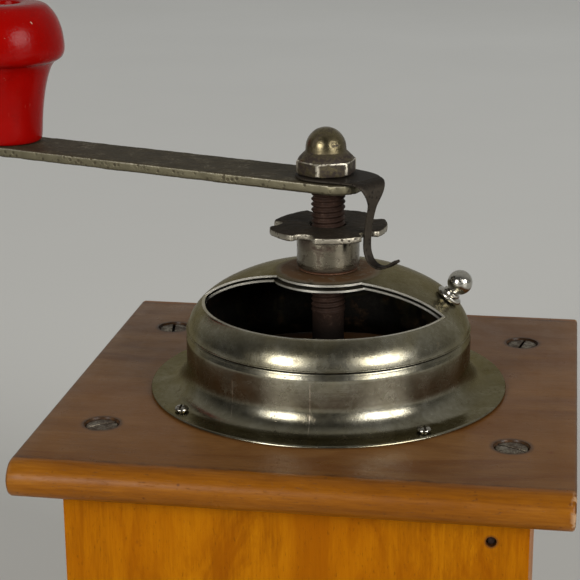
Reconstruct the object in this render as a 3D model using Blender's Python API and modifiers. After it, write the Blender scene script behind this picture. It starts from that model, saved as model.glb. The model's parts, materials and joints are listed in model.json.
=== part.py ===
"""Antique box coffee mill: a wooden case with a drawer, an open sheet-metal hopper with a turning cover,
conical burrs on a threaded spindle, a star nut with a spring catch that sets the grind, and a crank with a
turned wooden grip.

Lengths below are in millimetres and become metres as each object is made. +Z is up. The origin is on the
spindle's axis, on the surface that the mill stands on. Heights named Z... count from that surface.
"""

import math

import bmesh
import bpy
from mathutils import Vector

MM = 0.001
GAP = 0.3  # clearance between pieces that touch

# Case
CASE_X, CASE_Y = -1.0, 0.5  # the case's middle, seen from the spindle's axis
BOARD_W, BOARD_D = 150.0, 153.0
BOARD_T = 10.5
BASE_T = 12.0
NOSING = 5.2  # depth of the boards' rounded front and back edges
ARRIS = 0.9
WALL_H = 105.0
BOX_HALF_X = 63.4
BOX_HALF_Y = 62.8
SIDE_T = 12.0
PANEL_T = 10.0
Z_WALL = BASE_T
Z_BOARD_LOW = BASE_T + WALL_H
ZT = Z_BOARD_LOW + BOARD_T  # top face of the top board
THROAT_R = 22.0

# Drawer
DRAWER_HALF_X = 50.5
DRAWER_H = 52.0
DRAWER_LEN = 100.0
DRAWER_BOX_H = 45.0
DRAWER_WALL = 7.0
DRAWER_FLOOR = 4.0

# Hopper, heights above the top board
FLANGE_R = 53.0
FLANGE_Z = 0.7
COLLAR_R = 42.2
FLARE_Z, FLARE_W = 7.7, 6.0  # height and width of the curve from the wall to the flange
SHEET_T = 0.6
DOME_R = 41.9
DOME_RISE = 19.5
DOME_SPRING = 17.2  # where the crown's curve would stand upright
DOME_FOOT = 18.4  # where the crown ends and the rim begins
COVER_AXIS_Z = 18.9
BOSS_FLAT_R = 12.8
BOSS_TOP = 35.7
OPEN_EDGE = 11.45  # distance of the opening's straight edges from the axis
OPEN_SPREAD = 8.65  # each straight edge opens outwards by this many degrees
OPEN_BOSS_R = 16.0
OPEN_LIP_Z = 25.95
OPEN_TURN = -8.65  # the opening faces a little to the left of the front
KNOB_R, KNOB_ANGLE = 35.2, 2.0
FLANGE_SCREW_R = 49.5
FLANGE_SCREW_ANGLES = (-139.6, -49.6, 40.4, 130.4)

# Spindle, star nut and catch, heights above the top board
SPINDLE_R = 5.0
THREAD_PITCH = 1.6
THREAD_DEPTH = 0.65
SEAT_Z = 59.9
HUB_R = 9.25
STAR_Z0, STAR_Z1 = 47.4, 49.4
STAR_R = 17.3
STAR_NOTCH_R = 3.1
STAR_LOBES = 5
STAR_PHASE = -36.0  # the notch that the catch drops into
CATCH_ANGLE = -35.0
CATCH_T = 0.8

# Crank
ARM_ANGLE = 161.2
ARM_HALF_W = 10.0
ARM_END = 11.5
ARM_LEN = 115.0
ARM_Z0, ARM_Z1 = 60.2, 63.3
HEX_AF = 15.4
HEX_ANGLE = -69.0
CAP_X, CAP_Y = -0.55, -0.1  # the cap nut sits a little off the spindle's axis

# Burrs, heights above the top board
CONE_TOP_R, CONE_LOW_R = 8.0, 18.6
CONE_Z1, CONE_Z0 = -15.0, -42.0
RING_R = 24.0

COLLECTION = "box_coffee_mill"
STEPS = 32  # facets round the large turned sheet pieces


def start():
    for obj in list(bpy.data.objects):
        bpy.data.objects.remove(obj, do_unlink=True)
    made = []
    for name in (COLLECTION, "cutters"):
        collection = bpy.data.collections.new(name)
        bpy.context.scene.collection.children.link(collection)
        made.append(collection)
    return made


PARTS, CUTTERS = start()


def material(name, colour, roughness, metallic=0.0):
    mat = bpy.data.materials.new(name)
    mat.use_nodes = True
    shader = mat.node_tree.nodes["Principled BSDF"]
    shader.inputs["Base Color"].default_value = (*colour, 1.0)
    shader.inputs["Roughness"].default_value = roughness
    shader.inputs["Metallic"].default_value = metallic
    return mat


OCHRE_WOOD = (0.52, 0.27, 0.07)
BROWN_WOOD = (0.33, 0.13, 0.035)
PALE_WOOD = (0.55, 0.38, 0.2)
NICKEL = (0.47, 0.46, 0.4)
WORN_STEEL = (0.4, 0.38, 0.33)
RUST = (0.13, 0.07, 0.045)
BRASSY = (0.42, 0.34, 0.2)
RED = (0.6, 0.01, 0.01)
CAST_IRON = (0.09, 0.085, 0.08)


def adopt(obj, mat, parent=None):
    """Puts a finished piece in the collection, with a material of its own."""
    PARTS.objects.link(obj)
    obj.data.materials.clear()
    obj.data.materials.append(mat)
    if parent is not None:
        obj.parent = parent
        obj.matrix_parent_inverse = parent.matrix_world.inverted()
    return obj


def own_material(name, colour, roughness, metallic=0.0):
    return material(name + "_finish", colour, roughness, metallic)


def pivot(name, at):
    """An empty on a joint's axis, which carries the pieces that move with it."""
    empty = bpy.data.objects.new(name, None)
    empty.empty_display_size = 0.02
    empty.location = Vector(at) * MM
    PARTS.objects.link(empty)
    bpy.context.view_layer.update()
    return empty


def as_cutter(obj):
    CUTTERS.objects.link(obj)
    obj.hide_render = True
    obj.display_type = "WIRE"
    return obj


def smooth(obj, angle=32.0):
    obj.data.shade_smooth()
    obj.data.set_sharp_from_angle(angle=math.radians(angle))


def object_from(bm, name, at=(0.0, 0.0, 0.0)):
    mesh = bpy.data.meshes.new(name)
    bm.to_mesh(mesh)
    bm.free()
    obj = bpy.data.objects.new(name, mesh)
    obj.location = Vector(at) * MM
    return obj


def block(name, x, y, z, at=None, round_edges=0.0, segments=2):
    """A box between the pairs x, y and z, with its origin at its middle or at `at`."""
    middle = Vector([(x[0] + x[1]) / 2, (y[0] + y[1]) / 2, (z[0] + z[1]) / 2])
    origin = middle if at is None else Vector(at)
    size = Vector([x[1] - x[0], y[1] - y[0], z[1] - z[0]])
    bm = bmesh.new()
    bmesh.ops.create_cube(bm, size=MM)
    bmesh.ops.scale(bm, vec=size, verts=bm.verts)
    bmesh.ops.translate(bm, vec=(middle - origin) * MM, verts=bm.verts)
    obj = object_from(bm, name, origin)
    if round_edges:
        bevel = obj.modifiers.new("rounded", "BEVEL")
        bevel.width = round_edges * MM
        bevel.segments = segments
    return obj


def nosed_board(name, half_x, half_y, z, depth, arris, steps):
    """A board with a rounded nosing at its front and back, and its two ends cut square."""
    half_t = (z[1] - z[0]) / 2
    bm = bmesh.new()
    rings = []
    for x, inset in ((-half_x, arris), (-half_x + arris, 0.0), (half_x - arris, 0.0), (half_x, arris)):
        ring = []
        for side in (1, -1):
            for i in range(steps + 1):
                angle = math.radians(90 - 180 * i / steps)
                out = half_y - inset - depth * (1 - math.cos(angle))
                up = (half_t - inset) * math.sin(angle)
                ring.append(bm.verts.new((x * MM, side * out * MM, side * up * MM)))
        rings.append(ring)
    for a, b in zip(rings, rings[1:]):
        for i in range(len(a)):
            k = (i + 1) % len(a)
            bm.faces.new((a[i], a[k], b[k], b[i]))
    bm.faces.new(rings[0])
    bm.faces.new(rings[-1])
    bmesh.ops.recalc_face_normals(bm, faces=bm.faces)
    return object_from(bm, name, (CASE_X, CASE_Y, (z[0] + z[1]) / 2))


def cylinder(name, radius, z, at=(0.0, 0.0), facets=24, top_radius=None):
    """A cylinder or a cone frustum standing on the pair of heights z."""
    bm = bmesh.new()
    top = radius if top_radius is None else top_radius
    bmesh.ops.create_cone(
        bm,
        cap_ends=True,
        segments=facets,
        radius1=radius * MM,
        radius2=top * MM,
        depth=(z[1] - z[0]) * MM,
    )
    return object_from(bm, name, (at[0], at[1], (z[0] + z[1]) / 2))


def turned(name, profile, at=(0.0, 0.0, 0.0), steps=24, closed=False, sheet=0.0):
    """A piece turned about Z. The profile holds (radius, height) from the top down the outer side."""
    bm = bmesh.new()
    points = [bm.verts.new((r * MM, 0.0, z * MM)) for r, z in profile]
    for a, b in zip(points, points[1:]):
        bm.edges.new((a, b))
    if closed:
        bm.edges.new((points[-1], points[0]))
    obj = object_from(bm, name, at)
    screw = obj.modifiers.new("turned", "SCREW")
    screw.axis = "Z"
    screw.steps = steps
    screw.render_steps = steps
    screw.use_merge_vertices = True
    screw.merge_threshold = 0.00001
    if sheet:
        thick = obj.modifiers.new("sheet", "SOLIDIFY")
        thick.thickness = sheet * MM
        thick.offset = -1.0
        thick.use_even_offset = True
    return obj


def outline_curve(name, loops, half, at=(0.0, 0.0, 0.0), rotation=(0.0, 0.0, 0.0)):
    """A flat piece: outer and inner outlines in its own plane, `half` thick on each side of it."""
    curve = bpy.data.curves.new(name, "CURVE")
    curve.dimensions = "2D"
    curve.fill_mode = "BOTH"
    curve.extrude = half * MM
    for loop in loops:
        spline = curve.splines.new("POLY")
        spline.points.add(len(loop) - 1)
        for point, (x, y) in zip(spline.points, loop):
            point.co = (x * MM, y * MM, 0.0, 1.0)
        spline.use_cyclic_u = True
    obj = bpy.data.objects.new(name, curve)
    obj.location = Vector(at) * MM
    obj.rotation_euler = [math.radians(a) for a in rotation]
    return obj


def to_mesh(obj, merge=True):
    """The evaluated shape of an object, as a mesh object in the same place."""
    bpy.context.scene.collection.objects.link(obj)
    bpy.context.view_layer.update()
    graph = bpy.context.evaluated_depsgraph_get()
    mesh = bpy.data.meshes.new_from_object(obj.evaluated_get(graph))
    bm = bmesh.new()
    bm.from_mesh(mesh)
    if merge:
        bmesh.ops.remove_doubles(bm, verts=bm.verts, dist=0.000005)
    bmesh.ops.recalc_face_normals(bm, faces=bm.faces)
    bm.to_mesh(mesh)
    bm.free()
    name = obj.name
    placed = obj.matrix_world.copy()
    bpy.data.objects.remove(obj, do_unlink=True)
    made = bpy.data.objects.new(name, mesh)
    made.matrix_world = placed
    return made


def plate(name, loops, z, at=(0.0, 0.0), turn=0.0):
    """A flat piece lying between the pair of heights z."""
    half = (z[1] - z[0]) / 2
    middle = (z[0] + z[1]) / 2
    return to_mesh(outline_curve(name, loops, half, (at[0], at[1], middle), (0.0, 0.0, turn)))


def boolean(obj, other, operation="DIFFERENCE"):
    cut = obj.modifiers.new(other.name, "BOOLEAN")
    cut.operation = operation
    cut.solver = "EXACT"
    cut.object = other
    return obj


def polar(radius, angle):
    return (radius * math.cos(math.radians(angle)), radius * math.sin(math.radians(angle)))


def arc(radius, start_angle, end_angle, count, centre=(0.0, 0.0)):
    """Points along an arc, both ends included."""
    found = []
    for i in range(count + 1):
        x, y = polar(radius, start_angle + (end_angle - start_angle) * i / count)
        found.append((centre[0] + x, centre[1] + y))
    return found


def circle(radius, count, centre=(0.0, 0.0)):
    return arc(radius, 0.0, 360.0 * (count - 1) / count, count - 1, centre)


# ---------------------------------------------------------------- screws


def slotted(name, profile, slot_width, slot_depth, steps=10):
    """A baked screw mesh: turned, with a slot across its head. Its head's top is at height 0."""
    body = turned(name, profile, steps=steps)
    groove = block(name + "_slot", (-9, 9), (-slot_width / 2, slot_width / 2), (-slot_depth, 3))
    as_cutter(groove)
    boolean(body, groove)
    made = to_mesh(body)
    mesh = made.data
    bpy.data.objects.remove(groove, do_unlink=True)
    bpy.data.objects.remove(made, do_unlink=True)
    return mesh


def place_screw(name, mesh, at, turn, mat_spec, flip=False, parent=None):
    obj = bpy.data.objects.new(name, mesh.copy())
    obj.location = Vector(at) * MM
    obj.rotation_euler = (math.pi if flip else 0.0, 0.0, math.radians(turn))
    adopt(obj, own_material(name, *mat_spec), parent)
    smooth(obj)
    return obj


def screw_hole(name, profile, at, flip=False, steps=10):
    hole = to_mesh(turned(name, profile, steps=steps))
    hole.location = Vector(at) * MM
    hole.rotation_euler = (math.pi if flip else 0.0, 0.0, 0.0)
    return as_cutter(hole)


WOOD_SCREW = [(0, 0), (4.5, 0), (4.5, -0.3), (2.0, -2.9), (2.0, -25.0), (0.7, -29.0), (0, -29.0)]
WOOD_SCREW_HOLE = [(0, 3), (4.8, 3), (4.8, -0.45), (2.3, -3.05), (2.3, -29.5), (0, -29.5)]
SMALL_SCREW = [(0, 0), (1.0, -0.1), (1.75, -0.55), (2.05, -1.2), (1.2, -1.2), (1.2, -7.6), (0.4, -9.0), (0, -9.0)]
SMALL_SCREW_HOLE = [(0, 3), (1.5, 3), (1.5, -9.4), (0, -9.4)]


# ---------------------------------------------------------------- case


def make_case():
    top = nosed_board("top_board", BOARD_W / 2, BOARD_D / 2, (Z_BOARD_LOW, ZT), NOSING, ARRIS, 8)
    base = nosed_board("base_board", BOARD_W / 2, BOARD_D / 2, (0.0, BASE_T), NOSING, ARRIS, 8)
    low, high = Z_WALL + GAP, Z_BOARD_LOW - GAP
    front_y = CASE_Y - BOX_HALF_Y - 0.1
    back_y = CASE_Y + BOX_HALF_Y
    inner_front, inner_back = front_y + PANEL_T, back_y - PANEL_T
    left_x, right_x = CASE_X - BOX_HALF_X, CASE_X + BOX_HALF_X

    walls = {}
    for name, x in (("left_wall", (left_x, left_x + SIDE_T)), ("right_wall", (right_x - SIDE_T, right_x))):
        walls[name] = block(name, x, (inner_front + GAP, inner_back - GAP), (low, high))
    walls["back_wall"] = block("back_wall", (left_x, right_x), (inner_back, back_y), (low, high))
    front = block("front_wall", (left_x, right_x), (front_y, inner_front), (low, high))
    gap_x = DRAWER_HALF_X + 0.6
    mouth = block(
        "drawer_mouth",
        (CASE_X - gap_x, CASE_X + gap_x),
        (front_y - 5, inner_front + 5),
        (low - 5, Z_WALL + GAP + DRAWER_H + 0.6),
    )
    boolean(front, as_cutter(mouth))
    walls["front_wall"] = front

    throat = as_cutter(cylinder("throat", THROAT_R, (Z_BOARD_LOW - 2, ZT + 2), facets=32))
    boolean(top, throat)

    wood = slotted("wood_screw", WOOD_SCREW, 0.9, 1.0)
    small = slotted("small_screw", SMALL_SCREW, 0.55, 0.6)
    rusty = (WORN_STEEL, 0.55, 0.8)
    screw_x = BOX_HALF_X - SIDE_T / 2
    spots = (
        ("front_left", -screw_x, -42.5, 38.0, "left_wall"),
        ("front_right", screw_x, -42.5, 152.0, "right_wall"),
        ("back_right", screw_x, 45.5, 78.0, "right_wall"),
        ("back_left", -screw_x, 45.5, 100.0, "left_wall"),
    )
    for where, x, y, turn, wall in spots:
        at = (CASE_X + x, y, ZT - 0.3)
        hole = screw_hole("hole_board_" + where, WOOD_SCREW_HOLE, at)
        boolean(top, hole)
        boolean(walls[wall], hole)
        place_screw("board_screw_" + where, wood, at, turn, rusty)
        under = (CASE_X + x, y, 0.4)
        hole = screw_hole("hole_base_" + where, WOOD_SCREW_HOLE, under, flip=True)
        boolean(base, hole)
        boolean(walls[wall], hole)
        place_screw("base_screw_" + where, wood, under, turn + 20, rusty, flip=True)

    nail_at = (52.4, front_y + 0.8, ZT - 19.3)
    nail_hole = cylinder("hole_nail", 1.45, (-5, 24.0), facets=12)
    nail_hole.rotation_euler = (math.radians(-90), 0, 0)
    nail_hole.location = (Vector(nail_at) + Vector((0, 8.0, 0))) * MM
    as_cutter(nail_hole)
    boolean(walls["front_wall"], nail_hole)
    boolean(walls["right_wall"], nail_hole)
    nail = turned("front_nail", [(0, 0), (1.1, 0), (1.1, -1.0), (0.8, -1.6), (0.8, -18.0), (0, -20.0)], steps=10)
    nail.rotation_euler = (math.radians(90), 0, 0)
    nail.location = Vector(nail_at) * MM
    adopt(nail, own_material("front_nail", RUST, 0.7, 0.6))
    smooth(nail)

    for angle, where in zip(FLANGE_SCREW_ANGLES, ("front_left", "front_right", "back_right", "back_left")):
        x, y = polar(FLANGE_SCREW_R, angle)
        at = (x, y, ZT + 1.2 + GAP + 1.2)
        hole = screw_hole("hole_flange_" + where, SMALL_SCREW_HOLE, at)
        boolean(top, hole)
        place_screw("flange_screw_" + where, small, at, angle + 70, (NICKEL, 0.35, 1.0))
        FLANGE_HOLES.append(hole)

    for obj, colour in ((top, BROWN_WOOD), (base, BROWN_WOOD)):
        adopt(obj, own_material(obj.name, colour, 0.3))
        smooth(obj)
    for obj in walls.values():
        adopt(obj, own_material(obj.name, OCHRE_WOOD, 0.35))
    return top, small


FLANGE_HOLES = []


# ---------------------------------------------------------------- drawer


def make_drawer():
    axis = pivot("drawer_slide", (CASE_X, CASE_Y - BOX_HALF_Y, Z_WALL + DRAWER_H / 2))
    front_y = CASE_Y - BOX_HALF_Y - 0.1
    inner = front_y + PANEL_T
    back = inner + DRAWER_LEN
    low = Z_WALL + GAP
    high = low + DRAWER_BOX_H
    left, right = CASE_X - DRAWER_HALF_X, CASE_X + DRAWER_HALF_X
    front = block("drawer_front", (left, right), (front_y, inner), (low, low + DRAWER_H), round_edges=0.8, segments=1)
    hole = cylinder("hole_drawer_screw", 2.0, (-8, 8), facets=12)
    hole.rotation_euler = (math.radians(90), 0, 0)
    knob_z = low + DRAWER_H / 2
    hole.location = Vector((CASE_X, front_y + PANEL_T / 2, knob_z)) * MM
    boolean(front, as_cutter(hole))
    side_y = (inner + GAP, back)
    pieces = [
        block("drawer_left", (left, left + DRAWER_WALL), side_y, (low, high)),
        block("drawer_right", (right - DRAWER_WALL, right), side_y, (low, high)),
    ]
    between = (left + DRAWER_WALL + GAP, right - DRAWER_WALL - GAP)
    pieces.append(block("drawer_back", between, (back - DRAWER_WALL, back), (low, high)))
    floor_y = (inner + GAP, back - DRAWER_WALL - GAP)
    pieces.append(block("drawer_bottom", between, floor_y, (low, low + DRAWER_FLOOR)))
    adopt(front, own_material("drawer_front", OCHRE_WOOD, 0.35), axis)
    for obj in pieces:
        adopt(obj, own_material(obj.name, PALE_WOOD, 0.6), axis)

    profile = [
        (0, 18.0), (3.5, 17.6), (6.6, 16.2), (8.6, 13.6), (9.0, 11.0), (8.0, 8.6),
        (5.6, 6.4), (4.6, 4.0), (5.4, 1.6), (6.6, 0.0), (1.6, 0.0), (1.6, 9.0), (0, 9.0),
    ]
    knob = turned("drawer_knob", profile, steps=20)
    knob.rotation_euler = (math.radians(90), 0, 0)
    knob.location = Vector((CASE_X, front_y - GAP, knob_z)) * MM
    adopt(knob, own_material("drawer_knob", RED, 0.2), axis)
    smooth(knob)
    screw = turned("drawer_knob_screw", [(0, 0), (3.2, -0.4), (3.6, -1.5), (1.2, -1.5), (1.2, -18.0), (0, -19.0)], steps=12)
    screw.rotation_euler = (math.radians(-90), 0, 0)
    screw.location = Vector((CASE_X, inner + GAP + 1.5, knob_z)) * MM
    adopt(screw, own_material("drawer_knob_screw", WORN_STEEL, 0.5, 0.9), axis)
    smooth(screw)


# ---------------------------------------------------------------- hopper


def dome_profile(radius, rise, spring, flat, flat_z, count):
    """The crown of the dome from the edge of its flat middle down to its foot."""
    points = []
    first = math.acos(flat / radius)
    last = math.asin((DOME_FOOT - spring) / rise)
    for i in range(count + 1):
        angle = first + (last - first) * i / count
        points.append((radius * math.cos(angle), spring + rise * math.sin(angle)))
    points[0] = (flat, min(points[0][1], flat_z + 0.15))
    return points


def opening_outline(edge, boss, outer):
    """Plan of the feeding opening: two straight edges, the boss's arc and an arc outside the dome."""
    spread = math.radians(OPEN_SPREAD)
    foot = (edge * math.sin(spread), -edge * math.cos(spread))
    ways = []
    for radius in (boss, outer):
        along = math.sqrt(radius * radius - edge * edge)
        ways.append((foot[0] + along * math.cos(spread), foot[1] + along * math.sin(spread)))
    inner_angle = math.degrees(math.atan2(ways[0][1], ways[0][0]))
    outer_angle = math.degrees(math.atan2(ways[1][1], ways[1][0]))
    boss_arc = arc(boss, -180.0 - inner_angle, inner_angle, 10)
    outer_arc = arc(outer, outer_angle, -180.0 - outer_angle, 16)
    return boss_arc + outer_arc


def make_hopper(top, small):
    z = ZT + GAP
    collar_line = [
        (COLLAR_R - 0.7, 17.3), (COLLAR_R - 0.35, 17.1), (COLLAR_R - 0.15, 16.5), (COLLAR_R, 15.2),
        (COLLAR_R, FLARE_Z),
    ]
    for angle in (18, 36, 54, 72, 90):
        out = FLARE_W * (1 - math.cos(math.radians(angle)))
        down = (FLARE_Z - FLANGE_Z) * math.sin(math.radians(angle))
        collar_line.append((COLLAR_R + out, FLARE_Z - down))
    collar_line.append((FLANGE_R, FLANGE_Z))
    collar = turned("hopper_collar", collar_line, (0, 0, z), STEPS, sheet=SHEET_T)
    for hole in FLANGE_HOLES:
        boolean(collar, hole)
    adopt(collar, own_material("hopper_collar", NICKEL, 0.3, 1.0))
    smooth(collar, 40)

    inner_radius, inner_rise = DOME_R - 1.3, DOME_RISE - 1.3
    inner_line = [(7.2, BOSS_TOP - 1.2), (BOSS_FLAT_R - 0.4, BOSS_TOP - 1.2)]
    inner_line += dome_profile(inner_radius, inner_rise, DOME_SPRING, BOSS_FLAT_R, BOSS_TOP - 1.3, 7)[1:]
    inner_line += [(COLLAR_R - 1.2, 16.6), (COLLAR_R - 1.15, 11.0)]
    inner = turned("inner_dome", inner_line, (0, 0, ZT), STEPS, sheet=SHEET_T)
    loops = [opening_outline(OPEN_EDGE + 0.2, OPEN_BOSS_R + 0.8, 46.0)]
    inner_cut = as_cutter(plate("opening_inner", loops, (ZT + OPEN_LIP_Z - 1.4, ZT + 50), turn=OPEN_TURN))
    boolean(inner, inner_cut)
    adopt(inner, own_material("inner_dome", NICKEL, 0.5, 1.0))
    smooth(inner, 40)

    bush_line = [
        (6.9, BOSS_TOP + 0.1), (6.9, BOSS_TOP - 2.1), (11.0, BOSS_TOP - 2.1),
        (11.0, BOSS_TOP - 3.3), (5.35, BOSS_TOP - 3.3), (5.35, BOSS_TOP + 0.1),
    ]
    bush = turned("bearing_bush", bush_line, (0, 0, ZT), 24, closed=True)
    adopt(bush, own_material("bearing_bush", BRASSY, 0.4, 1.0))
    smooth(bush)

    axis = pivot("cover_axis", (0, 0, ZT + COVER_AXIS_Z))
    cover_line = [(7.3, BOSS_TOP), (BOSS_FLAT_R, BOSS_TOP)]
    cover_line += dome_profile(DOME_R, DOME_RISE, DOME_SPRING, BOSS_FLAT_R + 1, BOSS_TOP, 8)
    cover_line += [(DOME_R + 0.25, DOME_FOOT - 0.1), (DOME_R + 0.3, DOME_FOOT - 0.4)]
    cover = turned("hopper_cover", cover_line, (0, 0, ZT), STEPS, sheet=SHEET_T)
    loops = [opening_outline(OPEN_EDGE, OPEN_BOSS_R, 46.0)]
    cover_cut = as_cutter(plate("opening_cover", loops, (ZT + OPEN_LIP_Z, ZT + 50), turn=OPEN_TURN))
    boolean(cover, cover_cut)
    rise_here = DOME_RISE * math.sqrt(1 - (KNOB_R / DOME_R) ** 2)
    lean = math.degrees(math.atan2(KNOB_R / DOME_R ** 2, rise_here / DOME_RISE ** 2))
    height = DOME_SPRING + rise_here
    x, y = polar(KNOB_R, KNOB_ANGLE)
    knob_turn = (0.0, math.radians(lean), math.radians(KNOB_ANGLE))
    stem_hole = cylinder("hole_cover_knob", 1.5, (-3, 3), facets=12)
    stem_hole.location = Vector((x, y, ZT + height)) * MM
    stem_hole.rotation_euler = knob_turn
    boolean(cover, as_cutter(stem_hole))
    adopt(cover, own_material("hopper_cover", NICKEL, 0.28, 1.0), axis)
    smooth(cover, 40)

    ball = []
    for i in range(8):
        angle = math.radians(90 - 19.5 * i)
        ball.append((3.65 * math.cos(angle), 6.0 + 3.65 * math.sin(angle)))
    ball[0] = (0, ball[0][1])
    foot = [(1.9, 2.75), (2.5, 2.55), (2.6, 1.7), (3.7, 1.45), (3.9, 0.85), (3.8, GAP + 0.05), (1.15, GAP + 0.05)]
    knob = turned("cover_knob", ball + foot + [(1.15, -0.45), (0, -0.45)], steps=20)
    knob.location = Vector((x, y, ZT + height)) * MM
    knob.rotation_euler = knob_turn
    adopt(knob, own_material("cover_knob", NICKEL, 0.2, 1.0), axis)
    smooth(knob)


# ---------------------------------------------------------------- spindle, star nut, catch


def threads(z_high, z_low):
    """Profile points of a thread between two heights, crest first."""
    turns = int(round((z_high - z_low) / THREAD_PITCH))
    step = (z_high - z_low) / turns
    points = []
    for i in range(turns):
        points.append((SPINDLE_R, z_high - i * step))
        points.append((SPINDLE_R - THREAD_DEPTH, z_high - (i + 0.5) * step))
    points.append((SPINDLE_R, z_low))
    return points


def make_spindle():
    """The spindle's own body: the shaft, the cone and the pin through both."""
    axis = pivot("spindle_axis", (0, 0, ZT))
    line = [(0, 72.0), (3.3, 72.0), (3.9, 71.4), (3.9, SEAT_Z), (SPINDLE_R, SEAT_Z)]
    line += threads(SEAT_Z - 0.6, 50.3)
    line += threads(36.0, 28.0)
    line += [(4.7, 27.0), (4.7, -14.0), (4.0, -14.6), (4.0, -55.0), (3.2, -56.0), (0, -56.0)]
    shaft = turned("spindle", line, (0, 0, ZT), 20)
    for side in (-1, 1):
        x = (3.3, 9.0) if side > 0 else (-9.0, -3.3)
        flat = block("spindle_flat_" + ("right" if side > 0 else "left"), x, (-9, 9), (SEAT_Z, 75), at=(0, 0, SEAT_Z))
        flat.location = Vector((0, 0, ZT + SEAT_Z)) * MM
        flat.rotation_euler = (0, 0, math.radians(ARM_ANGLE + 90))
        boolean(shaft, as_cutter(flat))
    pin_hole = cylinder("hole_cone_pin", 1.55, (-12, 12), facets=12)
    pin_hole.rotation_euler = (math.radians(90), 0, 0)
    pin_hole.location = Vector((0, 0, ZT - 38.0)) * MM
    as_cutter(pin_hole)
    boolean(shaft, pin_hole)
    adopt(shaft, own_material("spindle", RUST, 0.6, 0.7), axis)
    smooth(shaft)

    cone = fluted("burr_cone", 14, (CONE_LOW_R, CONE_TOP_R), 1.1, (CONE_Z0, CONE_Z1), 14.0)
    bore = as_cutter(cylinder("cone_bore", 4.3, (ZT + CONE_Z0 - 3, ZT + CONE_Z1 + 3), facets=24))
    hollow_line = [(9.6, CONE_Z0 + 9), (15.0, CONE_Z0 - 3), (7.5, CONE_Z0 - 3), (7.5, CONE_Z0 + 9)]
    hollow = as_cutter(to_mesh(turned("cone_hollow", hollow_line, (0, 0, ZT), 20, closed=True)))
    boolean(cone, hollow)
    boolean(cone, bore)
    boolean(cone, pin_hole)
    adopt(cone, own_material("burr_cone", CAST_IRON, 0.55, 0.9), axis)
    pin = cylinder("cone_pin", 1.25, (-7.3, 7.3), facets=12)
    pin.rotation_euler = (math.radians(90), 0, 0)
    pin.location = Vector((0, 0, ZT - 38.0)) * MM
    adopt(pin, own_material("cone_pin", WORN_STEEL, 0.45, 1.0), axis)
    smooth(pin)
    return axis


def fluted(name, teeth, radii, depth, z, twist):
    """A toothed cone frustum: radii and z are (low, high); the top is turned by `twist` degrees."""
    loop = []
    for i in range(teeth):
        middle = 360.0 * i / teeth
        pitch = 360.0 / teeth
        loop.append(polar(1.0, middle))
        loop.append(polar(1.0, middle + 0.25 * pitch))
        loop.append(polar(1.0 - depth / radii[0], middle + 0.8 * pitch))
    low, high = radii
    scaled = [(x * low, y * low) for x, y in loop]
    obj = plate(name, [scaled], (ZT + z[0], ZT + z[1]))
    turn = math.radians(twist)
    share = high / low
    for vert in obj.data.vertices:
        if vert.co.z > 0:
            x, y = vert.co.x * share, vert.co.y * share
            vert.co.x = x * math.cos(turn) - y * math.sin(turn)
            vert.co.y = x * math.sin(turn) + y * math.cos(turn)
    return obj


def star_outline():
    """The star's plan: round lobes with a U-shaped notch between each pair."""
    loop = []
    pitch = 360.0 / STAR_LOBES
    half_notch = math.degrees(math.asin(STAR_NOTCH_R / STAR_R))
    for k in range(STAR_LOBES):
        notch = STAR_PHASE + k * pitch
        centre = polar(STAR_R - 0.6, notch)
        loop += arc(STAR_NOTCH_R, notch + 95, notch + 265, 6, centre)[::-1]
        edge_start = notch + half_notch + 4.0
        edge_end = notch + pitch - half_notch - 4.0
        loop += [polar(STAR_R - 0.35, notch + half_notch + 1.0)]
        loop += arc(STAR_R, edge_start, edge_end, 5)
        loop += [polar(STAR_R - 0.35, notch + pitch - half_notch - 1.0)]
    return loop


def make_adjuster():
    axis = pivot("washer_axis", (0, 0, ZT + BOSS_TOP))
    washer_line = [(8.6, 0.5), (8.6, 0.0), (5.4, 0.0), (5.4, 0.5)]
    washer = turned("thrust_washer", washer_line, (0, 0, ZT + BOSS_TOP + GAP), 24, closed=True)
    adopt(washer, own_material("thrust_washer", RUST, 0.5, 0.9), axis)
    smooth(washer)
    nut_axis = pivot("star_nut_axis", (0, 0, ZT + STAR_Z0))
    hub_line = [
        (HUB_R - 0.4, STAR_Z0 - GAP), (HUB_R, STAR_Z0 - 0.8), (HUB_R, 37.1), (HUB_R - 0.4, 36.8),
        (5.4, 36.8), (5.4, STAR_Z0 - GAP),
    ]
    hub = turned("nut_hub", hub_line, (0, 0, ZT), 28, closed=True)
    adopt(hub, own_material("nut_hub", WORN_STEEL, 0.22, 1.0), nut_axis)
    smooth(hub)
    star = plate("star_plate", [star_outline(), circle(5.4, 24)], (ZT + STAR_Z0, ZT + STAR_Z1))
    adopt(star, own_material("star_plate", RUST, 0.6, 0.8), nut_axis)
    smooth(star)


def strip(name, stations, at_angle, thickness, parent, mat_spec):
    """A bent strip: stations are (out, height, near edge, far edge) along its middle line."""
    bm = bmesh.new()
    columns = 3
    bmesh.ops.create_grid(bm, x_segments=len(stations) - 1, y_segments=columns - 1, size=0.5)
    for vert in bm.verts:
        i = int(round((vert.co.x + 0.5) * (len(stations) - 1)))
        share = vert.co.y + 0.5
        out, height, near, far = stations[i]
        vert.co = (out * MM, (near + (far - near) * share) * MM, height * MM)
    obj = object_from(bm, name, (0, 0, ZT))
    obj.rotation_euler = (0, 0, math.radians(at_angle))
    thick = obj.modifiers.new("sheet", "SOLIDIFY")
    thick.thickness = thickness * MM
    thick.offset = 0.0
    thick.use_even_offset = True
    return obj


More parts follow.
